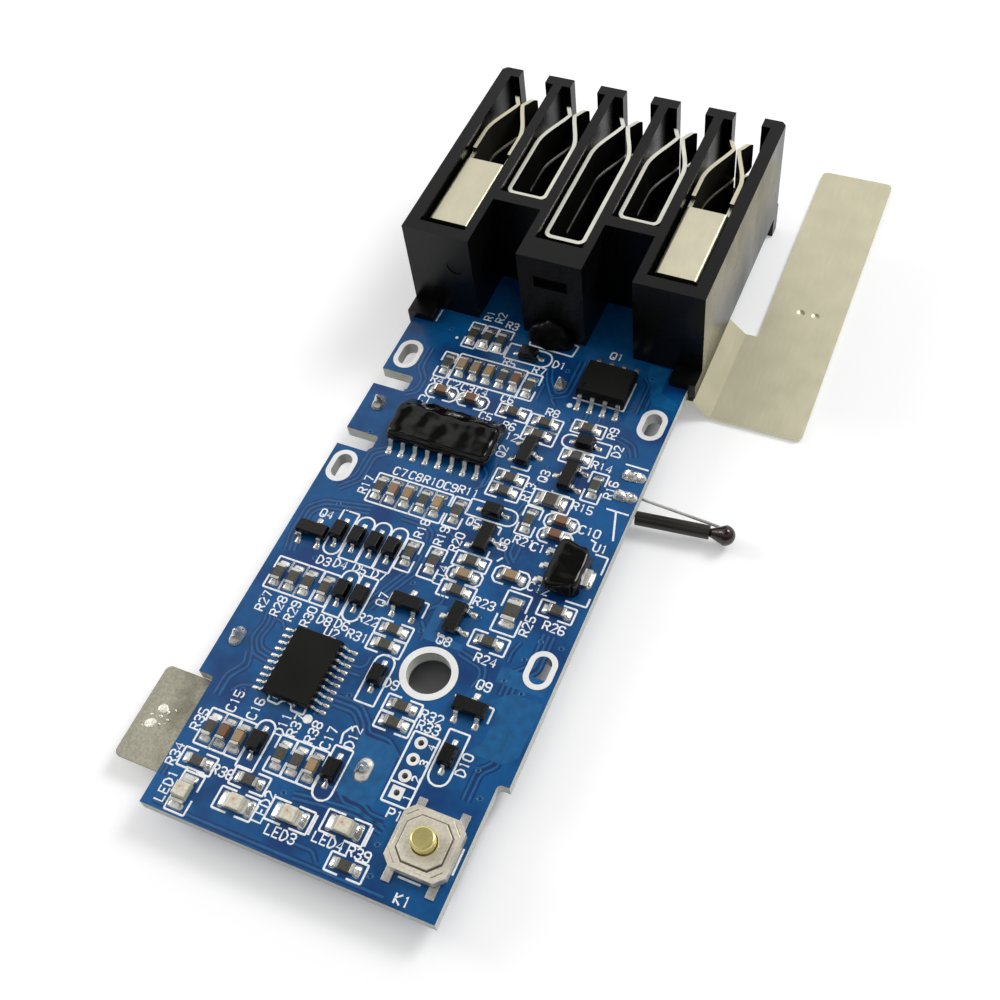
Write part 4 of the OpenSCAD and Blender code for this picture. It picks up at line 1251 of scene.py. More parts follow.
        near_left, near_right = corner("1", x0, y0), corner("2", x1, y0)
        far_right, far_left = corner("4", x1, y1), corner("3", x0, y1)
        if end not in (End.OPEN, End.CHAMFERED):
            return [(near_left + near_right + far_right + far_left, True)]
        at, mx, my, gap = self.datum.at, (x0 + x1) / 2, (y0 + y1) / 2, self.gap
        if y1 - y0 > x1 - x0:
            near = [at(x0, my - gap)] + near_left + near_right + [at(x1, my - gap)]
            far = [at(x1, my + gap)] + far_right + far_left + [at(x0, my + gap)]
            return [(near, False), (far, False)]
        left = [at(mx - gap, y1)] + far_left + near_left + [at(mx - gap, y0)]
        right = [at(mx + gap, y0)] + near_right + far_right + [at(mx + gap, y1)]
        return [(left, False), (right, False)]

    def build_lines(self) -> Piece:
        """All outlines and marks as one piece."""
        paths = [path for spec in self.outlines for path in self.outline(spec)]
        paths += [(self.datum.path(mark), False) for mark in self.marks]
        eased_paths = [(eased(points, closed, self.easing), closed) for points, closed in paths]
        return line_work("legend_outlines", eased_paths, self.line, self.thickness)

    def build_dots(self) -> Piece:
        """Printed dots that mark first pins."""
        deselect()
        bpy.ops.mesh.primitive_cylinder_add(vertices=24, radius=1, depth=2, location=(0, 0, 0))
        disc = bpy.context.object
        soften(disc, self.dot_edge, 1)
        places = [placed(*self.datum.at(x, y), scale=(r, r, self.thickness)) for x, y, r in self.dots]
        return stamp(disc, places, "legend_dots")

    def build_words(self) -> Piece:
        """Designators numbered in their own order, and the header's pin numbers."""
        letters, digits = StrokeLetters(), StrokeLetters(width=0.4, height=0.62)
        counts: dict[str, int] = {}
        labels = [(*label, True) for label in self.upright_labels]
        labels += [(*label, False) for label in self.turned_labels]
        paths: list[Stroke] = []
        labels.sort(key=lambda label: (-round(label[2] / self.row_height), label[1]))
        for kind, x, y, upright in labels:
            counts[kind] = counts.get(kind, 0) + 1
            paths += letters.paths(f"{kind}{counts[kind]}", self.datum.at(x, y), upright)
        for digit, x, y in self.numbers:
            paths += digits.paths(digit, self.datum.at(x, y), False)
        return line_work("legend_words", paths, self.letter_line, self.thickness)

    def build(self) -> None:
        """Prints the legend."""
        for piece in (self.build_lines(), self.build_dots(), self.build_words()):
            hand_over(piece, Palette.ink)


@dataclass
class CopperWork:
    """Tracks, copper areas and plugged holes under the lacquer."""

    datum: Datum
    track: float = 0.24
    clearance: float = 0.15
    thickness: float = 0.012
    gap_thickness: float = 0.004
    pour_thickness: float = 0.008
    easing: float = 0.25
    bundle_easing: float = 0.4
    ring_radius: float = 0.2
    ring_wire: float = 0.08
    ring_flatness: float = 0.45
    plug_radius: float = 0.15
    plug_flatness: float = 0.08
    bundles: tuple[tuple[Path, int, float], ...] = (
        (((-2.2, 13.6), (0.0, 13.6), (1.2, 12.5), (1.5, 11.6), (3.6, 11.6), (4.9, 10.6)), 3, 0.46),
        (((-0.1, 7.0), (1.9, 7.0), (2.7, 6.2), (4.2, 6.2), (4.9, 5.7), (6.4, 5.7)), 2, 0.5),
        (((-11.3, 19.2), (-11.0, 18.0), (-11.3, 16.4), (-10.6, 15.3), (-9.3, 15.1)), 3, 0.42),
        (((-11.2, 15.0), (-10.8, 13.8), (-11.8, 12.4), (-11.8, 10.4)), 2, 0.5),
        (((-7.9, 31.6), (-10.0, 31.2), (-12.2, 30.8), (-13.3, 29.8), (-13.3, 26.9), (-12.9, 25.2)),
         3, 0.44),
        (((-3.6, 22.6), (-2.9, 24.1), (-2.0, 26.0), (-1.4, 27.2), (-1.4, 28.9)), 3, 0.44),
        (((-4.8, 31.9), (-2.7, 31.9), (-1.6, 31.2), (-1.5, 30.4)), 2, 0.42),
        (((1.2, 52.4), (1.7, 50.9), (2.8, 49.3), (3.9, 49.9), (3.9, 54.2)), 2, 0.5),
        (((5.8, 21.3), (8.2, 20.7), (8.5, 19.7), (8.2, 18.6)), 2, 0.44),
        (((-1.4, 5.0), (0.8, 5.3), (3.1, 5.5), (4.5, 5.5), (6.6, 5.0)), 2, 0.44),
        (((10.9, 18.9), (10.9, 20.8), (12.2, 22.1), (12.2, 25.4)), 3, 0.46),
        (((11.6, 9.6), (11.6, 12.2), (12.6, 13.2), (12.6, 16.0)), 2, 0.5),
        (((-9.3, 38.2), (-10.6, 37.4), (-10.6, 34.4), (-12.0, 33.0)), 3, 0.44),
        (((5.2, 37.0), (4.8, 35.6), (5.6, 34.0), (5.6, 31.6), (6.4, 30.8)), 2, 0.44),
        (((10.4, 46.6), (11.8, 46.2), (12.4, 45.0)), 2, 0.5),
        (((-10.9, 44.9), (-9.9, 45.6), (-9.9, 47.2), (-10.9, 48.4), (-10.9, 51.0)), 2, 0.46),
    )
    tracks: tuple[Path, ...] = (
        ((-9.4, 12.3), (-10.4, 11.9), (-10.8, 11.2)),
        ((-2.3, 17.0), (-1.5, 17.0), (-1.1, 17.4), (-1.1, 18.3)), ((-2.3, 16.3), (-1.2, 16.3)),
        ((-9.4, 18.0), (-9.9, 18.6), (-10.7, 18.6)), ((1.3, 23.9), (2.3, 24.9), (2.3, 25.6)),
        ((1.4, 22.9), (2.2, 22.1), (2.2, 21.2)), ((1.0, 31.0), (0.2, 31.8), (-1.0, 31.8)),
        ((0.5, 37.4), (0.5, 38.9), (-0.2, 39.6)), ((0.1, 36.9), (0.9, 37.7), (0.9, 40.3)),
        ((10.2, 24.0), (9.9, 23.0), (9.9, 21.9)), ((-0.2, 1.6), (2.2, 1.6), (2.9, 0.9)),
        ((-12.3, 2.6), (-12.3, 3.6)), ((10.9, 49.8), (10.9, 53.5), (10.2, 54.2)),
        ((11.5, 50.6), (11.5, 54.8)), ((1.4, 48.2), (1.4, 50.4)), ((3.4, 48.2), (2.7, 48.9), (2.7, 49.4)),
        ((5.4, 41.6), (5.4, 41.2)), ((9.9, 44.1), (9.9, 43.6)), ((6.5, 32.6), (6.5, 31.2)),
        ((-11.9, 0.55), (-8.4, 0.45), (3.2, 0.45), (9.0, 0.45)), ((-5.6, 38.5), (-5.6, 37.5)),
        ((-4.3, 38.5), (-4.3, 37.6)), ((-3.0, 38.5), (-2.6, 37.5)), ((-6.9, 38.5), (-7.0, 37.6)),
        ((7.9, 47.6), (7.9, 48.5)), ((6.6, 47.6), (6.6, 48.5)),
    )
    pours: tuple[Path, ...] = (
        ((10.0, 13.4), (13.1, 13.4), (14.1, 14.4), (14.1, 19.4), (11.4, 19.4), (9.9, 18.1),
         (10.9, 17.6), (10.9, 14.6)),
        ((10.2, 54.9), (10.2, 55.9), (12.2, 55.9), (12.2, 53.0), (14.1, 52.2), (14.1, 51.3), (11.9, 51.3)),
        ((1.3, 7.5), (1.3, 11.7), (4.4, 11.7), (5.0, 11.0), (5.0, 6.5), (1.9, 6.5)),
        ((2.1, 24.9), (2.1, 21.4), (6.0, 21.4), (5.6, 22.0), (3.0, 22.3), (3.0, 24.9)),
        ((9.6, 19.9), (9.6, 21.4), (13.9, 21.4), (13.9, 19.9)),
    )
    holes: tuple[tuple[float, float], ...] = (
        (11.75, 24.6), (13.6, 24.6), (12.1, 19.6), (6.7, 3.9), (7.3, 1.5), (-12.9, 20.2), (-10.3, 25.3),
        (-2.9, 17.1), (1.8, 22.0), (5.9, 24.9), (-0.9, 26.0), (10.3, 20.2), (11.5, 12.3), (5.3, 16.8),
        (-9.9, 30.9), (-12.6, 33.4), (5.2, 39.4), (9.9, 42.7), (10.9, 54.3), (-10.0, 53.9), (2.9, 52.6),
        (-11.0, 31.2), (-9.9, 11.6), (-3.0, 12.0), (2.1, 25.8), (9.6, 29.2), (-12.0, 39.6), (-0.2, 44.2),
        (5.5, 47.2), (-2.2, 4.9), (7.6, 5.9), (12.6, 10.2), (-1.2, 14.4), (11.1, 22.6),
    )

    def all_paths(self) -> list[Stroke]:
        """Every track's path, with each bundle spread into its tracks."""
        paths: list[Stroke] = []
        for path in self.tracks:
            paths.append((eased(self.datum.path(path), False, self.easing), False))
        for path, count, pitch in self.bundles:
            middle = self.datum.path(path)
            for index in range(count):
                shifted = sideways(middle, (index - (count - 1) / 2) * pitch)
                paths.append((eased(shifted, False, self.bundle_easing), False))
        return paths

    def build_tracks(self) -> Piece:
        """Tracks under the lacquer."""
        return line_work("covered_tracks", self.all_paths(), self.track, self.thickness)

    def build_gaps(self) -> Piece:
        """Bare laminate that shows dark on both sides of each track."""
        width = self.track + 2 * self.clearance
        return line_work("track_gaps", self.all_paths(), width, self.gap_thickness)

    def build_pours(self) -> Piece:
        """Copper areas, as thin plates with soft edges."""
        plates: list[Piece] = []
        for outline in self.pours:
            plate = from_faces("pour", self.datum.path(outline), [range(len(outline))])
            turn_outwards(plate)
            offset = -1.0 if plate.data.polygons[0].normal.z < 0 else 1.0
            add_modifier(plate, "SOLIDIFY", thickness=self.pour_thickness, offset=offset)
            turn_outwards(plate)
            plates.append(plate)
        piece = join(plates, "covered_areas")
        soften(piece, self.pour_thickness / 2, 1)
        return piece

    def at_holes(self, flatness: float) -> list[Matrix]:
        """Places of the plugged holes, for a pattern that is flattened."""
        return [placed(*self.datum.at(x, y), scale=(1, 1, flatness)) for x, y in self.holes]

    def build_holes(self) -> Piece:
        """Plugged holes: a low ring round a dimple."""
        deselect()
        bpy.ops.mesh.primitive_torus_add(
            major_segments=18, minor_segments=8, major_radius=self.ring_radius,
            minor_radius=self.ring_wire, location=(0, 0, 0),
        )
        return stamp(bpy.context.object, self.at_holes(self.ring_flatness), "plugged_hole_rings")

    def build_plugs(self) -> Piece:
        """Dark lacquer plugs inside the rings."""
        deselect()
        bpy.ops.mesh.primitive_uv_sphere_add(
            segments=14, ring_count=8, radius=self.plug_radius, location=(0, 0, 0)
        )
        return stamp(bpy.context.object, self.at_holes(self.plug_flatness), "hole_plugs")

    def build(self) -> None:
        """Lays the copper work."""
        hand_over(self.build_gaps(), Palette.gaps)
        hand_over(self.build_tracks(), Palette.covered)
        hand_over(self.build_pours(), Palette.covered)
        hand_over(self.build_holes(), Palette.covered)
        hand_over(self.build_plugs(), Palette.plugged)


@dataclass
class CircuitBoard:
    """The laminate, its plated holes and what is printed on it."""

    datum: Datum
    edge: float = 0.04
    plating_edge: float = 0.02

    def build(self) -> None:
        """Softens the laminate and adds copper work and legend."""
        replace_softened("circuit_board", "laminate", self.edge, 1, Palette.mask)
        for node in ("plated_slots", "screw_hole_land", "header_pads"):
            replace_softened(node, f"{node}_tinned", self.plating_edge, 2, Palette.plating)
        CopperWork(self.datum).build()
        Legend(self.datum).build()


# --------------------------------------------------------------------------- terminals and strips


@dataclass
class TerminalBlock:
    """Moulded block with its fork contacts."""

    edge: float = 0.12
    sheet_edge: float = 0.06
    contacts: tuple[str, ...] = (
        "power_contact_left", "signal_contact_left", "signal_contact_middle",
        "signal_contact_right", "power_contact_right",
    )

    def build(self) -> None:
        """Softens the moulding and the contacts."""
        replace_softened("terminal_block", "moulded_block", self.edge, 2, Palette.nylon)
        for node in self.contacts:
            finish = Palette.plate if "power" in node else Palette.contact
            replace_softened(node, f"{node}_fork", self.sheet_edge, 2, finish)


@dataclass
class NickelStrips:
    """The long folded strip and the short tab, with their weld marks."""

    edge: float = 0.035
    weld_radius: float = 0.42
    weld_depth: float = 0.09
    strip_welds: tuple[tuple[float, float], ...] = ((21.1, 69.5), (22.6, 69.5))
    sheet: float = 0.2
    splash_height: float = 0.07
    splash_narrowing: float = 0.8
    splash_turn: float = 47.0
    splash_depth: float = 0.02
    drift: float = 0.12
    drift_scale: float = 2.5
    roughness: float = 0.05
    rough_scale: float = 5.0
    splashes: tuple[Triple, ...] = (
        (-16.1, 8.1, 0.5), (-16.45, 6.55, 0.52), (-15.5, 7.9, 0.2), (-15.25, 7.3, 0.16),
        (-15.9, 7.35, 0.22), (-16.8, 7.25, 0.14), (-15.0, 8.3, 0.12), (-15.65, 6.7, 0.14),
        (-17.0, 6.1, 0.12), (-15.3, 6.9, 0.1),
    )

    def build(self, datum: Datum) -> None:
        """Makes both strips and the splashes of the welds.

        Args:
            datum: Board coordinates.
        """
        strip = copy_of("right_nickel_strip", "right_nickel_sheet")
        for x, y in self.strip_welds:
            dent(strip, self.on_face("right_nickel_strip", datum, x, y), self.weld_radius, self.weld_depth)
        soften(strip, self.edge, 2)
        hand_over(strip, Palette.nickel, ["right_nickel_strip"])
        replace_softened("left_nickel_tab", "left_nickel_sheet", self.edge, 2, Palette.dull_nickel)
        hand_over(self.build_splashes(datum), Palette.weld)

    def build_splashes(self, datum: Datum) -> Piece:
        """Uneven splashes of metal, thrown up where the tab was welded.

        Args:
            datum: Board coordinates.

        Returns:
            All splashes as one piece.
        """
        deselect()
        bpy.ops.mesh.primitive_uv_sphere_add(segments=32, ring_count=16, radius=1, location=(0, 0, 0))
        splash = bpy.context.object
        places: list[Matrix] = []
        for index, (x, y, r) in enumerate(self.splashes):
            spot = self.on_face("left_nickel_tab", datum, x, y)
            size = (r, r * self.splash_narrowing, self.splash_height)
            places.append(placed(*spot, turn=self.splash_turn * index, scale=size))
        piece = stamp(splash, places, "weld_splashes")
        level = self.on_face("left_nickel_tab", datum, 0, 0).z
        for vertex in piece.data.vertices:
            rough = noise.noise(vertex.co * self.rough_scale)
            drift = noise.noise(vertex.co * self.drift_scale + Vector((9, 0, 0)))
            vertex.co.x += self.drift * drift
            vertex.co.z = max(level - self.splash_depth, vertex.co.z + self.roughness * rough)
        smooth_all(piece, 180)
        return piece

    def on_face(self, node: str, datum: Datum, x: float, y: float) -> Vector:
        """Place on the upper face of a strip's flat."""
        spot = datum.at(x, y)
        spot.z = node_block(node).low.z + self.sheet
        return spot


@dataclass
class Thermistor:
    """Bead on its sleeved and bare leads, with the joints on the board."""

    tail: float = 0.85
    neck: float = 0.42
    joint_unevenness: float = 0.1
    pull: float = 0.32
    sleeve_edge: float = 0.06

    def draw_out(self, bead: Piece) -> None:
        """Draws the bead out into a drop that meets the sleeve.

        Args:
            bead: The round bead.
        """
        block, sleeve = node_block("thermistor_bead"), node_block("thermistor_sleeve")
        along = (sleeve.centre - block.centre).normalized()
        radius = block.size.z / 2
        for vertex in bead.data.vertices:
            offset = vertex.co - block.centre
            reach = max(0.0, offset.dot(along) / radius)
            across = offset - along * offset.dot(along)
            vertex.co += along * self.tail * reach * reach - across * self.neck * reach

    def reach_board(self, sleeve: Piece) -> None:
        """Pulls the near end of the sleeve up to the board's edge.

        Args:
            sleeve: The straight sleeve.
        """
        block = node_block("thermistor_sleeve")
        along = (block.centre - node_block("thermistor_bead").centre).normalized()
        for vertex in sleeve.data.vertices:
            if (vertex.co - block.centre).dot(along) > 0:
                vertex.co += along * self.pull

    def build_joints(self) -> Piece:
        """Uneven joints, each drawn out along its wire."""
        joints = poured("thermistor_joints", "thermistor_solder", voxel=0.06, passes=3, ripple=0.03)
        low = node_block("thermistor_joints").low.z
        for vertex in joints.data.vertices:
            lift = min(1.0, max(0.0, (vertex.co.z - low) * 3))
            rough = noise.noise(vertex.co * 2.3) + 0.5 * noise.noise(vertex.co * 5.0)
            vertex.co += vertex.normal * self.joint_unevenness * rough * lift
        smooth_all(joints, 180)
        return joints

    def build(self) -> None:
        """Makes the bead, the sleeve, the leads and the joints."""
        bead = poured("thermistor_bead", "thermistor_drop", voxel=0.07, passes=6, ripple=0.01)
        self.draw_out(bead)
        hand_over(bead, Palette.bead, ["thermistor_bead"])
        sleeve = copy_of("thermistor_sleeve", "thermistor_sleeve_tube")
        self.reach_board(sleeve)
        soften(sleeve, self.sleeve_edge, 2)
        hand_over(sleeve, Palette.sleeve, ["thermistor_sleeve"])
        leads = copy_of("thermistor_leads", "thermistor_wires")
        smooth_all(leads, 60)
        hand_over(leads, Palette.tin, ["thermistor_leads"])
        hand_over(self.build_joints(), Palette.solder, ["thermistor_joints"])


# --------------------------------------------------------------------------- small parts


@dataclass
class ChipParts:
    """Chip resistors, capacitors and light-emitting diodes with their solder."""

    pad_length: float = 0.62
    pad_spread: float = 0.12
    pad_overlap: float = 0.08
    climb_share: float = 0.85
    climb_limit: float = 0.5
    climb_hollow: float = 2.2
    climb_foot: float = 0.12
    climb_rise: float = 0.8
    climb_belly: float = 0.08
    climb_thinning: float = 0.25
    lens_voxel: float = 0.06
    lens_smoothing: float = 0.5
    die_place: tuple[float, float] = (-0.12, 0.1)
    tints: tuple[tuple[float, float], ...] = ((0.16, 0.75), (0.5, 0.3))

    def soften_parts(self) -> None:
        """Softens every chip's body and end caps."""
        plan: tuple[tuple[str, float, Finish], ...] = (
            ("resistor_bodies", 0.03, Palette.glaze), ("sense_resistor_bodies", 0.04, Palette.glaze),
            ("capacitor_bodies", 0.07, Palette.ceramic), ("resistor_ends", 0.06, Palette.tin),
            ("sense_resistor_ends", 0.08, Palette.tin), ("capacitor_ends", 0.1, Palette.tin),
            ("led_base", 0.03, Palette.led_board), ("led_ends", 0.05, Palette.tin),
        )
        for node, width, finish in plan:
            replace_softened(node, f"{node}_soft", width, 2, finish)

    def build_lenses(self) -> None:
        """Domed lenses, each with the tint of the die in it.

        The die shows as a small strong spot in a wider weak one; each has a radius and a strength.
        """
        side, ahead = self.die_place
        for number in range(1, 5):
            node = f"led_lens_{number}"
            block = node_block(node)
            lens = copy_of(node, f"{node}_resin")
            add_modifier(lens, "REMESH", mode="VOXEL", voxel_size=self.lens_voxel, use_smooth_shade=True)
            add_modifier(lens, "SMOOTH", factor=self.lens_smoothing, iterations=3)
            smooth_all(lens, 180)
            tint = lens.data.color_attributes.new("tint", "FLOAT_COLOR", "POINT")
            spot = block.centre + Vector((side * block.size.x, ahead * block.size.y, 0))
            for vertex, value in zip(lens.data.vertices, tint.data):
                reach = (vertex.co - spot).to_2d().length
                share = sum(max(0.0, 1 - reach / radius) * strength for radius, strength in self.tints)
                value.color = (share, share, share, 1)
            hand_over(lens, Palette.lens, [node])

    def build_fillets(self) -> None:
        """Solder fillet from each pad up the end cap."""
        places: list[Matrix] = []
        for node in ("resistor_ends", "capacitor_ends", "sense_resistor_ends", "led_ends"):
            ends = loose_blocks(node)
            bodies = loose_blocks("led_base" if node == "led_ends" else node.replace("_ends", "_bodies"))
            for end in ends:
                body = nearest(end, bodies)
                away = end.centre - body.centre
                away.z = 0
                turn = math.degrees(math.atan2(away.y, away.x))
                along_x = abs(away.x) > abs(away.y)
                turn = round(turn / 90) * 90
                width = (end.size.y if along_x else end.size.x) + 2 * self.pad_spread
                face = end.centre + away.normalized() * ((end.size.x if along_x else end.size.y) / 2)
                height = min(end.size.z * self.climb_share, self.climb_limit)
                middle = face + away.normalized() * (self.pad_length / 2 - self.pad_overlap)
                size = (self.pad_length, width, height)
                places.append(placed(middle.x, middle.y, end.low.z, turn, size))

        def climb(u: float, v: float) -> float:
            """Hollow slope that climbs towards the part and thins to the sides."""
            slope = (1 - (u + 1) / 2) ** self.climb_hollow
            rise = self.climb_rise * slope * (1 - self.climb_thinning * v * v)
            return self.climb_foot + rise + self.climb_belly * (1 - u * u)

        hand_over(stamp(mound("fillet", climb), places, "chip_solder"), Palette.solder)

    def build(self) -> None:
        """Makes all chip parts."""
        self.soften_parts()
        self.build_lenses()
        self.build_fillets()


@dataclass
class Packages:
    """Moulded circuits, transistors and diodes with their leads, toes and coatings."""

    body_edge: float = 0.05
    lead_edge: float = 0.03
    dimple_inset: float = 0.75
    dimple_radius: float = 0.26
    dimple_depth: float = 0.2
    toe_length: float = 0.62
    toe_overlap: float = 0.45
    toe_height: float = 0.2
    toe_foot: float = 0.16
    toe_end: float = 0.35
    toe_hollow: float = 1.4
    toe_thinning: float = 0.75
    wide_lead: float = 0.3
    wide_spread: float = 0.2
    narrow_spread: float = 0.15
    circuits: tuple[str, ...] = ("mosfet", "monitor", "controller", "regulator")
    transistors: tuple[str, ...] = tuple(f"transistor_body_{number}" for number in range(1, 8))

    def press_dimple(self, body: Piece) -> None:
        """Presses the first-pin dimple into the switching package."""
        block = node_block("mosfet_body")
        spot = Vector((block.low.x + self.dimple_inset, block.low.y + self.dimple_inset, block.high.z))
        dent(body, spot, self.dimple_radius, self.dimple_depth)

    def soften_bodies(self) -> None:
        """Softens the moulded bodies."""
        names = [f"{circuit}_body" for circuit in self.circuits] + ["diode_bodies", *self.transistors]
        for node in names:
            body = copy_of(node, f"{node}_moulding")
            if node == "mosfet_body":
                self.press_dimple(body)
            soften(body, self.body_edge, 2)
            small = node.startswith(("diode", "transistor"))
            hand_over(body, Palette.small_epoxy if small else Palette.epoxy, [node])

    def soften_leads(self) -> None:
        """Softens the formed leads."""
        for kind in (*self.circuits, "transistor", "diode"):
            replace_softened(f"{kind}_leads", f"{kind}_leads_formed", self.lead_edge, 1, Palette.tin)

    def build_toes(self) -> None:
        """Solder round the foot of every lead."""
        places: list[Matrix] = []
        homes = [(circuit, [node_block(f"{circuit}_body")]) for circuit in self.circuits]
        homes.append(("transistor", [node_block(body) for body in self.transistors]))
        homes.append(("diode", loose_blocks("diode_bodies")))
        for kind, bodies in homes:
            for lead in loose_blocks(f"{kind}_leads"):
                places.append(self.toe_place(lead, nearest(lead, bodies)))

        def pool(u: float, v: float) -> float:
            """Low pool that rises towards the lead."""
            slope = self.toe_end + (1 - self.toe_end) * (1 - (u + 1) / 2) ** self.toe_hollow
            return self.toe_foot + (1 - self.toe_foot) * (1 - self.toe_thinning * v * v) * slope

        hand_over(stamp(mound("toe", pool), places, "lead_solder"), Palette.solder)

    def toe_place(self, lead: Block, body: Block) -> Matrix:
        """Place and size of the solder at one lead's foot.

        Args:
            lead: Box of the lead.
            body: Box of the body that the lead belongs to.

        Returns:
            Matrix for the unit mound.
        """
        gap_x = max(body.low.x - lead.centre.x, lead.centre.x - body.high.x)
        gap_y = max(body.low.y - lead.centre.y, lead.centre.y - body.high.y)
        if gap_x > gap_y:
            away = Vector((1 if lead.centre.x > body.centre.x else -1, 0, 0))
            width, run = lead.size.y, lead.size.x
        else:
            away = Vector((0, 1 if lead.centre.y > body.centre.y else -1, 0))
            width, run = lead.size.x, lead.size.y
        tip = lead.centre + away * run / 2
        length = self.toe_length
        middle = tip + away * (length / 2 - length * self.toe_overlap)
        turn = math.degrees(math.atan2(away.y, away.x))
        spread = self.wide_spread if width > self.wide_lead else self.narrow_spread
        return placed(middle.x, middle.y, lead.low.z, turn, (length, width + spread, self.toe_height))

    def build_coatings(self) -> None:
        """Pours the two coatings."""
        plan = (("monitor_coating", 0.09, 14, 0.16), ("regulator_coating", 0.08, 50, 0.06))
        for node, voxel, passes, ripple in plan:
            hand_over(poured(node, f"{node}_pour", voxel, passes, ripple), Palette.coating, [node])

    def build(self) -> None:
        """Makes all packages."""
        self.soften_bodies()
        self.soften_leads()
        self.build_toes()
        self.build_coatings()


@dataclass
class PushSwitch:
    """Tact switch: resin base, steel cover, snap dome and brass button."""

    corner: float = 0.75
    plateau: float = 3.8
    plateau_corner: float = 0.85
    sheet: float = 0.15
    skirt_start: float = 0.3
    skirt_inner: float = 0.86
    skirt_sheet: float = 0.06
    skirt_edge: float = 0.05
    skirt_gap: float = 0.02
    # Place, width and height of the dark ring round the cover's raised middle, a painted shadow.
    groove_offset: float = 0.03
    shadow_width: float = 0.2
    shadow_height: float = 0.035

    def build(self) -> None:
        """Softens the switch's pieces."""
        plan: tuple[tuple[str, float, int, Finish, str], ...] = (
            ("switch_base", 0.08, 2, Palette.switch_resin, BOARD_BODY),
            ("switch_terminals", 0.04, 1, Palette.tin, BOARD_BODY),
            ("switch_dome", 0.01, 1, Palette.switch_steel, BOARD_BODY),
            ("switch_cover", 0.06, 3, Palette.switch_steel, BOARD_BODY),
            ("switch_button", 0.08, 3, Palette.brass, BUTTON_BODY),
        )
        for node, width, segments, finish, body in plan:
            replace_softened(node, f"{node}_formed", width, segments, finish, body)
        hand_over(self.build_skirt(), Palette.switch_steel)
        # Dark ring at the foot of the cover's raised middle: painted shadow.
        hand_over(self.build_painted_shadow(), Palette.cover_shadow_paint)

    def build_painted_shadow(self) -> Piece:
        """Painted shadow: a dark ring where the cover's raised middle meets its flange, standing for the
        shade at the foot of the middle's wall.
        """
        cover = node_block("switch_cover")
        reach, level = self.plateau / 2 + self.groove_offset, cover.low.z + self.sheet
        ring = clipped_square(reach, self.plateau_corner)
        points = [Vector((cover.centre.x + p.x, cover.centre.y + p.y, level)) for p in ring]
        return line_work("switch_cover_groove", [(points, True)], self.shadow_width, self.shadow_height)

    def build_skirt(self) -> Piece:
        """Folded sides of the steel cover, round the resin base."""
        base = node_block("switch_base")
        bottom = base.low.z + self.skirt_start
        top = node_block("switch_cover").low.z + self.sheet - self.skirt_gap
        ring = clipped_square(base.size.x / 2 + self.skirt_gap, self.corner)
        corners = [
            (base.centre.x + p.x * share, base.centre.y + p.y * share, level)
            for share, level in ((1.0, bottom), (1.0, top), (self.skirt_inner, top)) for p in ring
        ]
        count = len(ring)
        faces: list[tuple[int, ...]] = []
        for start in (0, count):
            for here in range(count):
                beside = (here + 1) % count
                faces.append((start + here, start + beside, start + count + beside, start + count + here))
        skirt = from_faces("switch_cover_skirt", corners, faces)
        add_modifier(skirt, "SOLIDIFY", thickness=self.skirt_sheet, offset=-1.0)
        turn_outwards(skirt)
        soften(skirt, self.skirt_edge, 2)
        return skirt


@dataclass
class HandWork:
    """What was added by hand: big joints, touched-up pins and sealant."""

    touch_ups: tuple[tuple[float, float, float, float], ...] = (
        (-6.95, 12.1, 0.62, 0.34), (-6.3, 12.35, 0.44, 0.3),
        (-5.05, 12.0, 0.4, 0.26), (-4.2, 12.15, 0.34, 0.24),
    )
    touch_turn: float = 35.0
    touch_narrowing: float = 0.8
    touch_foot: float = 0.35
    tip_reach: float = 0.28
    tip_height: float = 0.5
    tip_end: float = 4.0

    def build_joints(self) -> Piece:
        """Big joints, each drawn up to the clipped end of its wire."""
        joints = poured("solder_joints", "hand_joints", voxel=0.07, passes=5, ripple=0.06)
        for block in loose_blocks("solder_joints"):
            for vertex in joints.data.vertices:
                reach = (vertex.co - block.centre).to_2d().length / self.tip_reach
                if vertex.co.z > block.centre.z and reach < self.tip_end:
                    vertex.co.z += self.tip_height * math.exp(-reach * reach)
        smooth_all(joints, 180)
        return joints

    def build(self, datum: Datum) -> None:
        """Makes the joints, the touch-ups and the dab.

        Args:
            datum: Board coordinates.
        """
        hand_over(self.build_joints(), Palette.solder, ["solder_joints"])
        dab = poured("adhesive_dab", "sealant_dab", voxel=0.09, passes=60, ripple=0.25)
        hand_over(dab, Palette.sealant, ["adhesive_dab"])
        places: list[Matrix] = []
        for index, (x, y, length, height) in enumerate(self.touch_ups):
            size = (length, length * self.touch_narrowing, height)
            places.append(placed(*datum.at(x, y), turn=self.touch_turn * index, scale=size))

        def swell(u: float, v: float) -> float:
            """Low dome, highest in the middle."""
            return self.touch_foot + (1 - self.touch_foot) * (1 - u * u) * (1 - v * v)

        hand_over(stamp(mound("touch_up", swell), places, "solder_touch_ups"), Palette.solder)


# --------------------------------------------------------------------------- studio


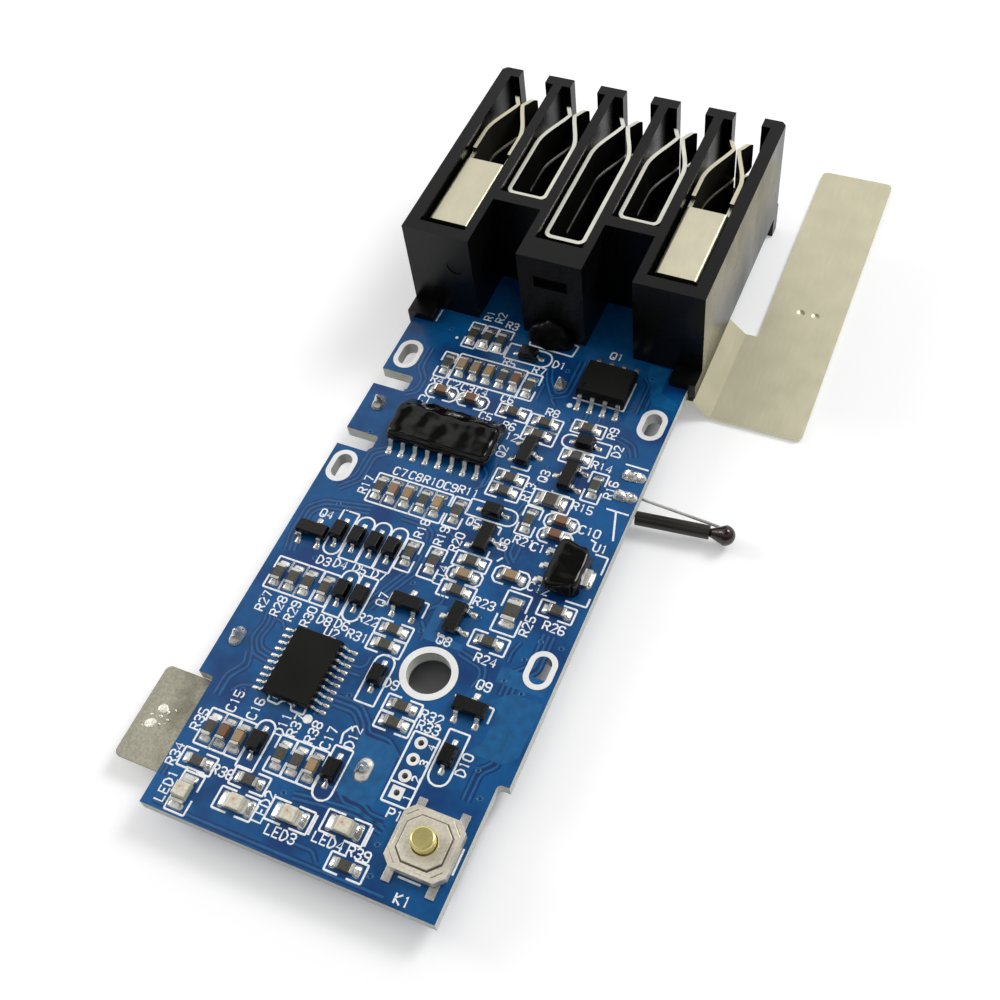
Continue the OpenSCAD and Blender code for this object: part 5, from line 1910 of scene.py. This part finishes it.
@dataclass
class Studio:
    """Floor, lamps, surroundings and camera."""

    lens: float = 46.83
    sensor: float = 36.0
    view_range: tuple[float, float] = (0.001, 20.0)
    place: Triple = (0.03354, -0.03897, 0.09630)
    turn: Triple = (34.390, 5.449, 23.599)
    bright_side: Triple = (-0.12, 0.55, 0.83)
    bright_span: tuple[float, float] = (-0.1, 0.8)
    dark_patch: Triple = (0.15, 0.15, 0.977)
    patch_span: tuple[float, float] = (0.79, 0.92)
    patch_level: float = 0.12
    dark_level: float = 0.10
    diffuse_share: float = 0.72
    floor_size: float = 6.0
    floor_drop: float = 0.00002
    floor_glow: float = 0.27
    # The floor's painted shadow under the board fades out across this share of the board's half size and
    # has this colour.
    painted_shadow_span: tuple[float, float] = (0.78, 0.93)
    painted_board_shadow: Colour = (0.3, 0.3, 0.3)
    open_floor: Colour = (0.84, 0.84, 0.84)
    lamp_aim: Triple = (0, 0.02, 0)
    lamps: tuple[tuple[str, Triple, float, float], ...] = (
        ("key_softbox", (0.26, 0.34, 0.46), 0.22, 1.6), ("left_softbox", (-0.42, 0.02, 0.26), 0.16, 0.5),
    )

    @staticmethod
    def seen_rays(graph: Graph, with_camera: bool) -> Socket:
        """Mask that is 1 for rays that show the surroundings themselves.

        Args:
            graph: The graph that is being laid out.
            with_camera: Whether direct view counts too.

        Returns:
            The mask.
        """
        rays = graph.put("ShaderNodeLightPath").outputs
        seen = graph.math("MAXIMUM", rays["Is Glossy Ray"], rays["Is Transmission Ray"])
        return graph.math("MAXIMUM", seen, rays["Is Camera Ray"]) if with_camera else seen

    def build_floor(self, floor_level: float) -> None:
        """Pale floor that keeps the shadow, and a painted shadow under the board: within the board's
        outline the floor is darker and does not glow.

        Args:
            floor_level: Height of the lowest point of the object, in metres.
        """
        deselect()
        spot = (0, 0, floor_level - self.floor_drop)
        bpy.ops.mesh.primitive_plane_add(size=self.floor_size, location=spot)
        floor = bpy.context.object
        floor.name = "studio_floor"
        graph = Graph("floor_paint")
        board = node_block("circuit_board")
        half = (board.size.x / 2 * MM, board.size.y / 2 * MM, 1.0)
        offsets = graph.vector_math("SUBTRACT", graph.coords, tuple(board.centre * MM))
        shares = graph.vector_math("ABSOLUTE", graph.vector_math("DIVIDE", offsets, half))
        across, along = graph.split(shares)[:2]
        reach = graph.math("MAXIMUM", across, along)
        # Painted shadow under the board: the glow fades out and the colour darkens within the board's
        # outline.
        clear = graph.span(reach, *self.painted_shadow_span, 0.0, self.floor_glow)
        glow = graph.math("MULTIPLY", clear, self.seen_rays(graph, True))
        graph.set(
            Base_Color=graph.mix(
                graph.span(reach, *self.painted_shadow_span, 0.0, 1.0), self.painted_board_shadow, self.open_floor
            ),
            Roughness=0.9,
            Specular_IOR_Level=0.0,
            Emission_Color=(1.0, 1.0, 1.0),
            Emission_Strength=glow,
        )
        floor.data.materials.append(graph.material)
        floor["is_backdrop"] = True

    def build_surroundings(self) -> None:
        """White room that falls off to the dark on the near side."""
        world = bpy.data.worlds.new("studio")
        bpy.context.scene.world = world
        world.use_nodes = True
        graph = Graph("surroundings", world.node_tree)
        level = graph.span(graph.lean(self.bright_side), *self.bright_span, self.dark_level, 1.0)
        seen = self.seen_rays(graph, False)
        dimming = graph.span(graph.lean(self.dark_patch), *self.patch_span, 0.0, 1.0 - self.patch_level)
        kept = graph.math("SUBTRACT", 1.0, graph.math("MULTIPLY", dimming, seen))
        share = graph.span(seen, 0.0, 1.0, self.diffuse_share, 1.0)
        lit = graph.math("MULTIPLY", graph.math("MULTIPLY", level, kept), share)
        direct = graph.put("ShaderNodeLightPath").outputs["Is Camera Ray"]
        strength = graph.math("MAXIMUM", lit, direct)
        background = graph.put("ShaderNodeBackground", Color=(1.0, 1.0, 1.0), Strength=strength)
        output = graph.put("ShaderNodeOutputWorld")
        graph.feed(output.inputs["Surface"], background.outputs[0])

    def build_lamp(self, name: str, place: Sequence[float], size: float, power: float) -> None:
        """Adds one soft lamp that faces the board.

        Args:
            name: Name of the lamp.
            place: Where it hangs, in metres.
            size: Side of its square face.
            power: Its power in watts.
        """
        deselect()
        bpy.ops.object.light_add(type="AREA", location=place)
        lamp = bpy.context.object
        lamp.name = name
        lamp.data.size = size
        lamp.data.energy = power
        aim = Vector(self.lamp_aim) - Vector(place)
        lamp.rotation_euler = aim.to_track_quat("-Z", "Y").to_euler()

    def build_camera(self) -> None:
        """Camera at the viewing angle."""
        deselect()
        bpy.ops.object.camera_add(location=self.place, rotation=[math.radians(a) for a in self.turn])
        camera = bpy.context.object
        camera.data.lens = self.lens
        camera.data.sensor_width = self.sensor
        camera.data.clip_start, camera.data.clip_end = self.view_range
        bpy.context.scene.camera = camera

    def build(self, floor_level: float) -> None:
        """Sets up the whole studio.

        Args:
            floor_level: Height of the lowest point of the object, in metres.
        """
        self.build_surroundings()
        self.build_floor(floor_level)
        for lamp in self.lamps:
            self.build_lamp(*lamp)
        self.build_camera()
        bpy.context.scene.view_settings.view_transform = "Standard"


# --------------------------------------------------------------------------- main


def main() -> None:
    """Builds and dresses the whole part."""
    logging.basicConfig(level=logging.INFO, format="%(name)s %(message)s")
    solid_box = [[float(v) for v in corner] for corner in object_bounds()]
    datum = Datum()
    CircuitBoard(datum).build()
    TerminalBlock().build()
    NickelStrips().build(datum)
    Thermistor().build()
    ChipParts().build()
    Packages().build()
    PushSwitch().build()
    HandWork().build(datum)
    Studio().build(solid_box[0][2])


if __name__ == "__main__":
    main()
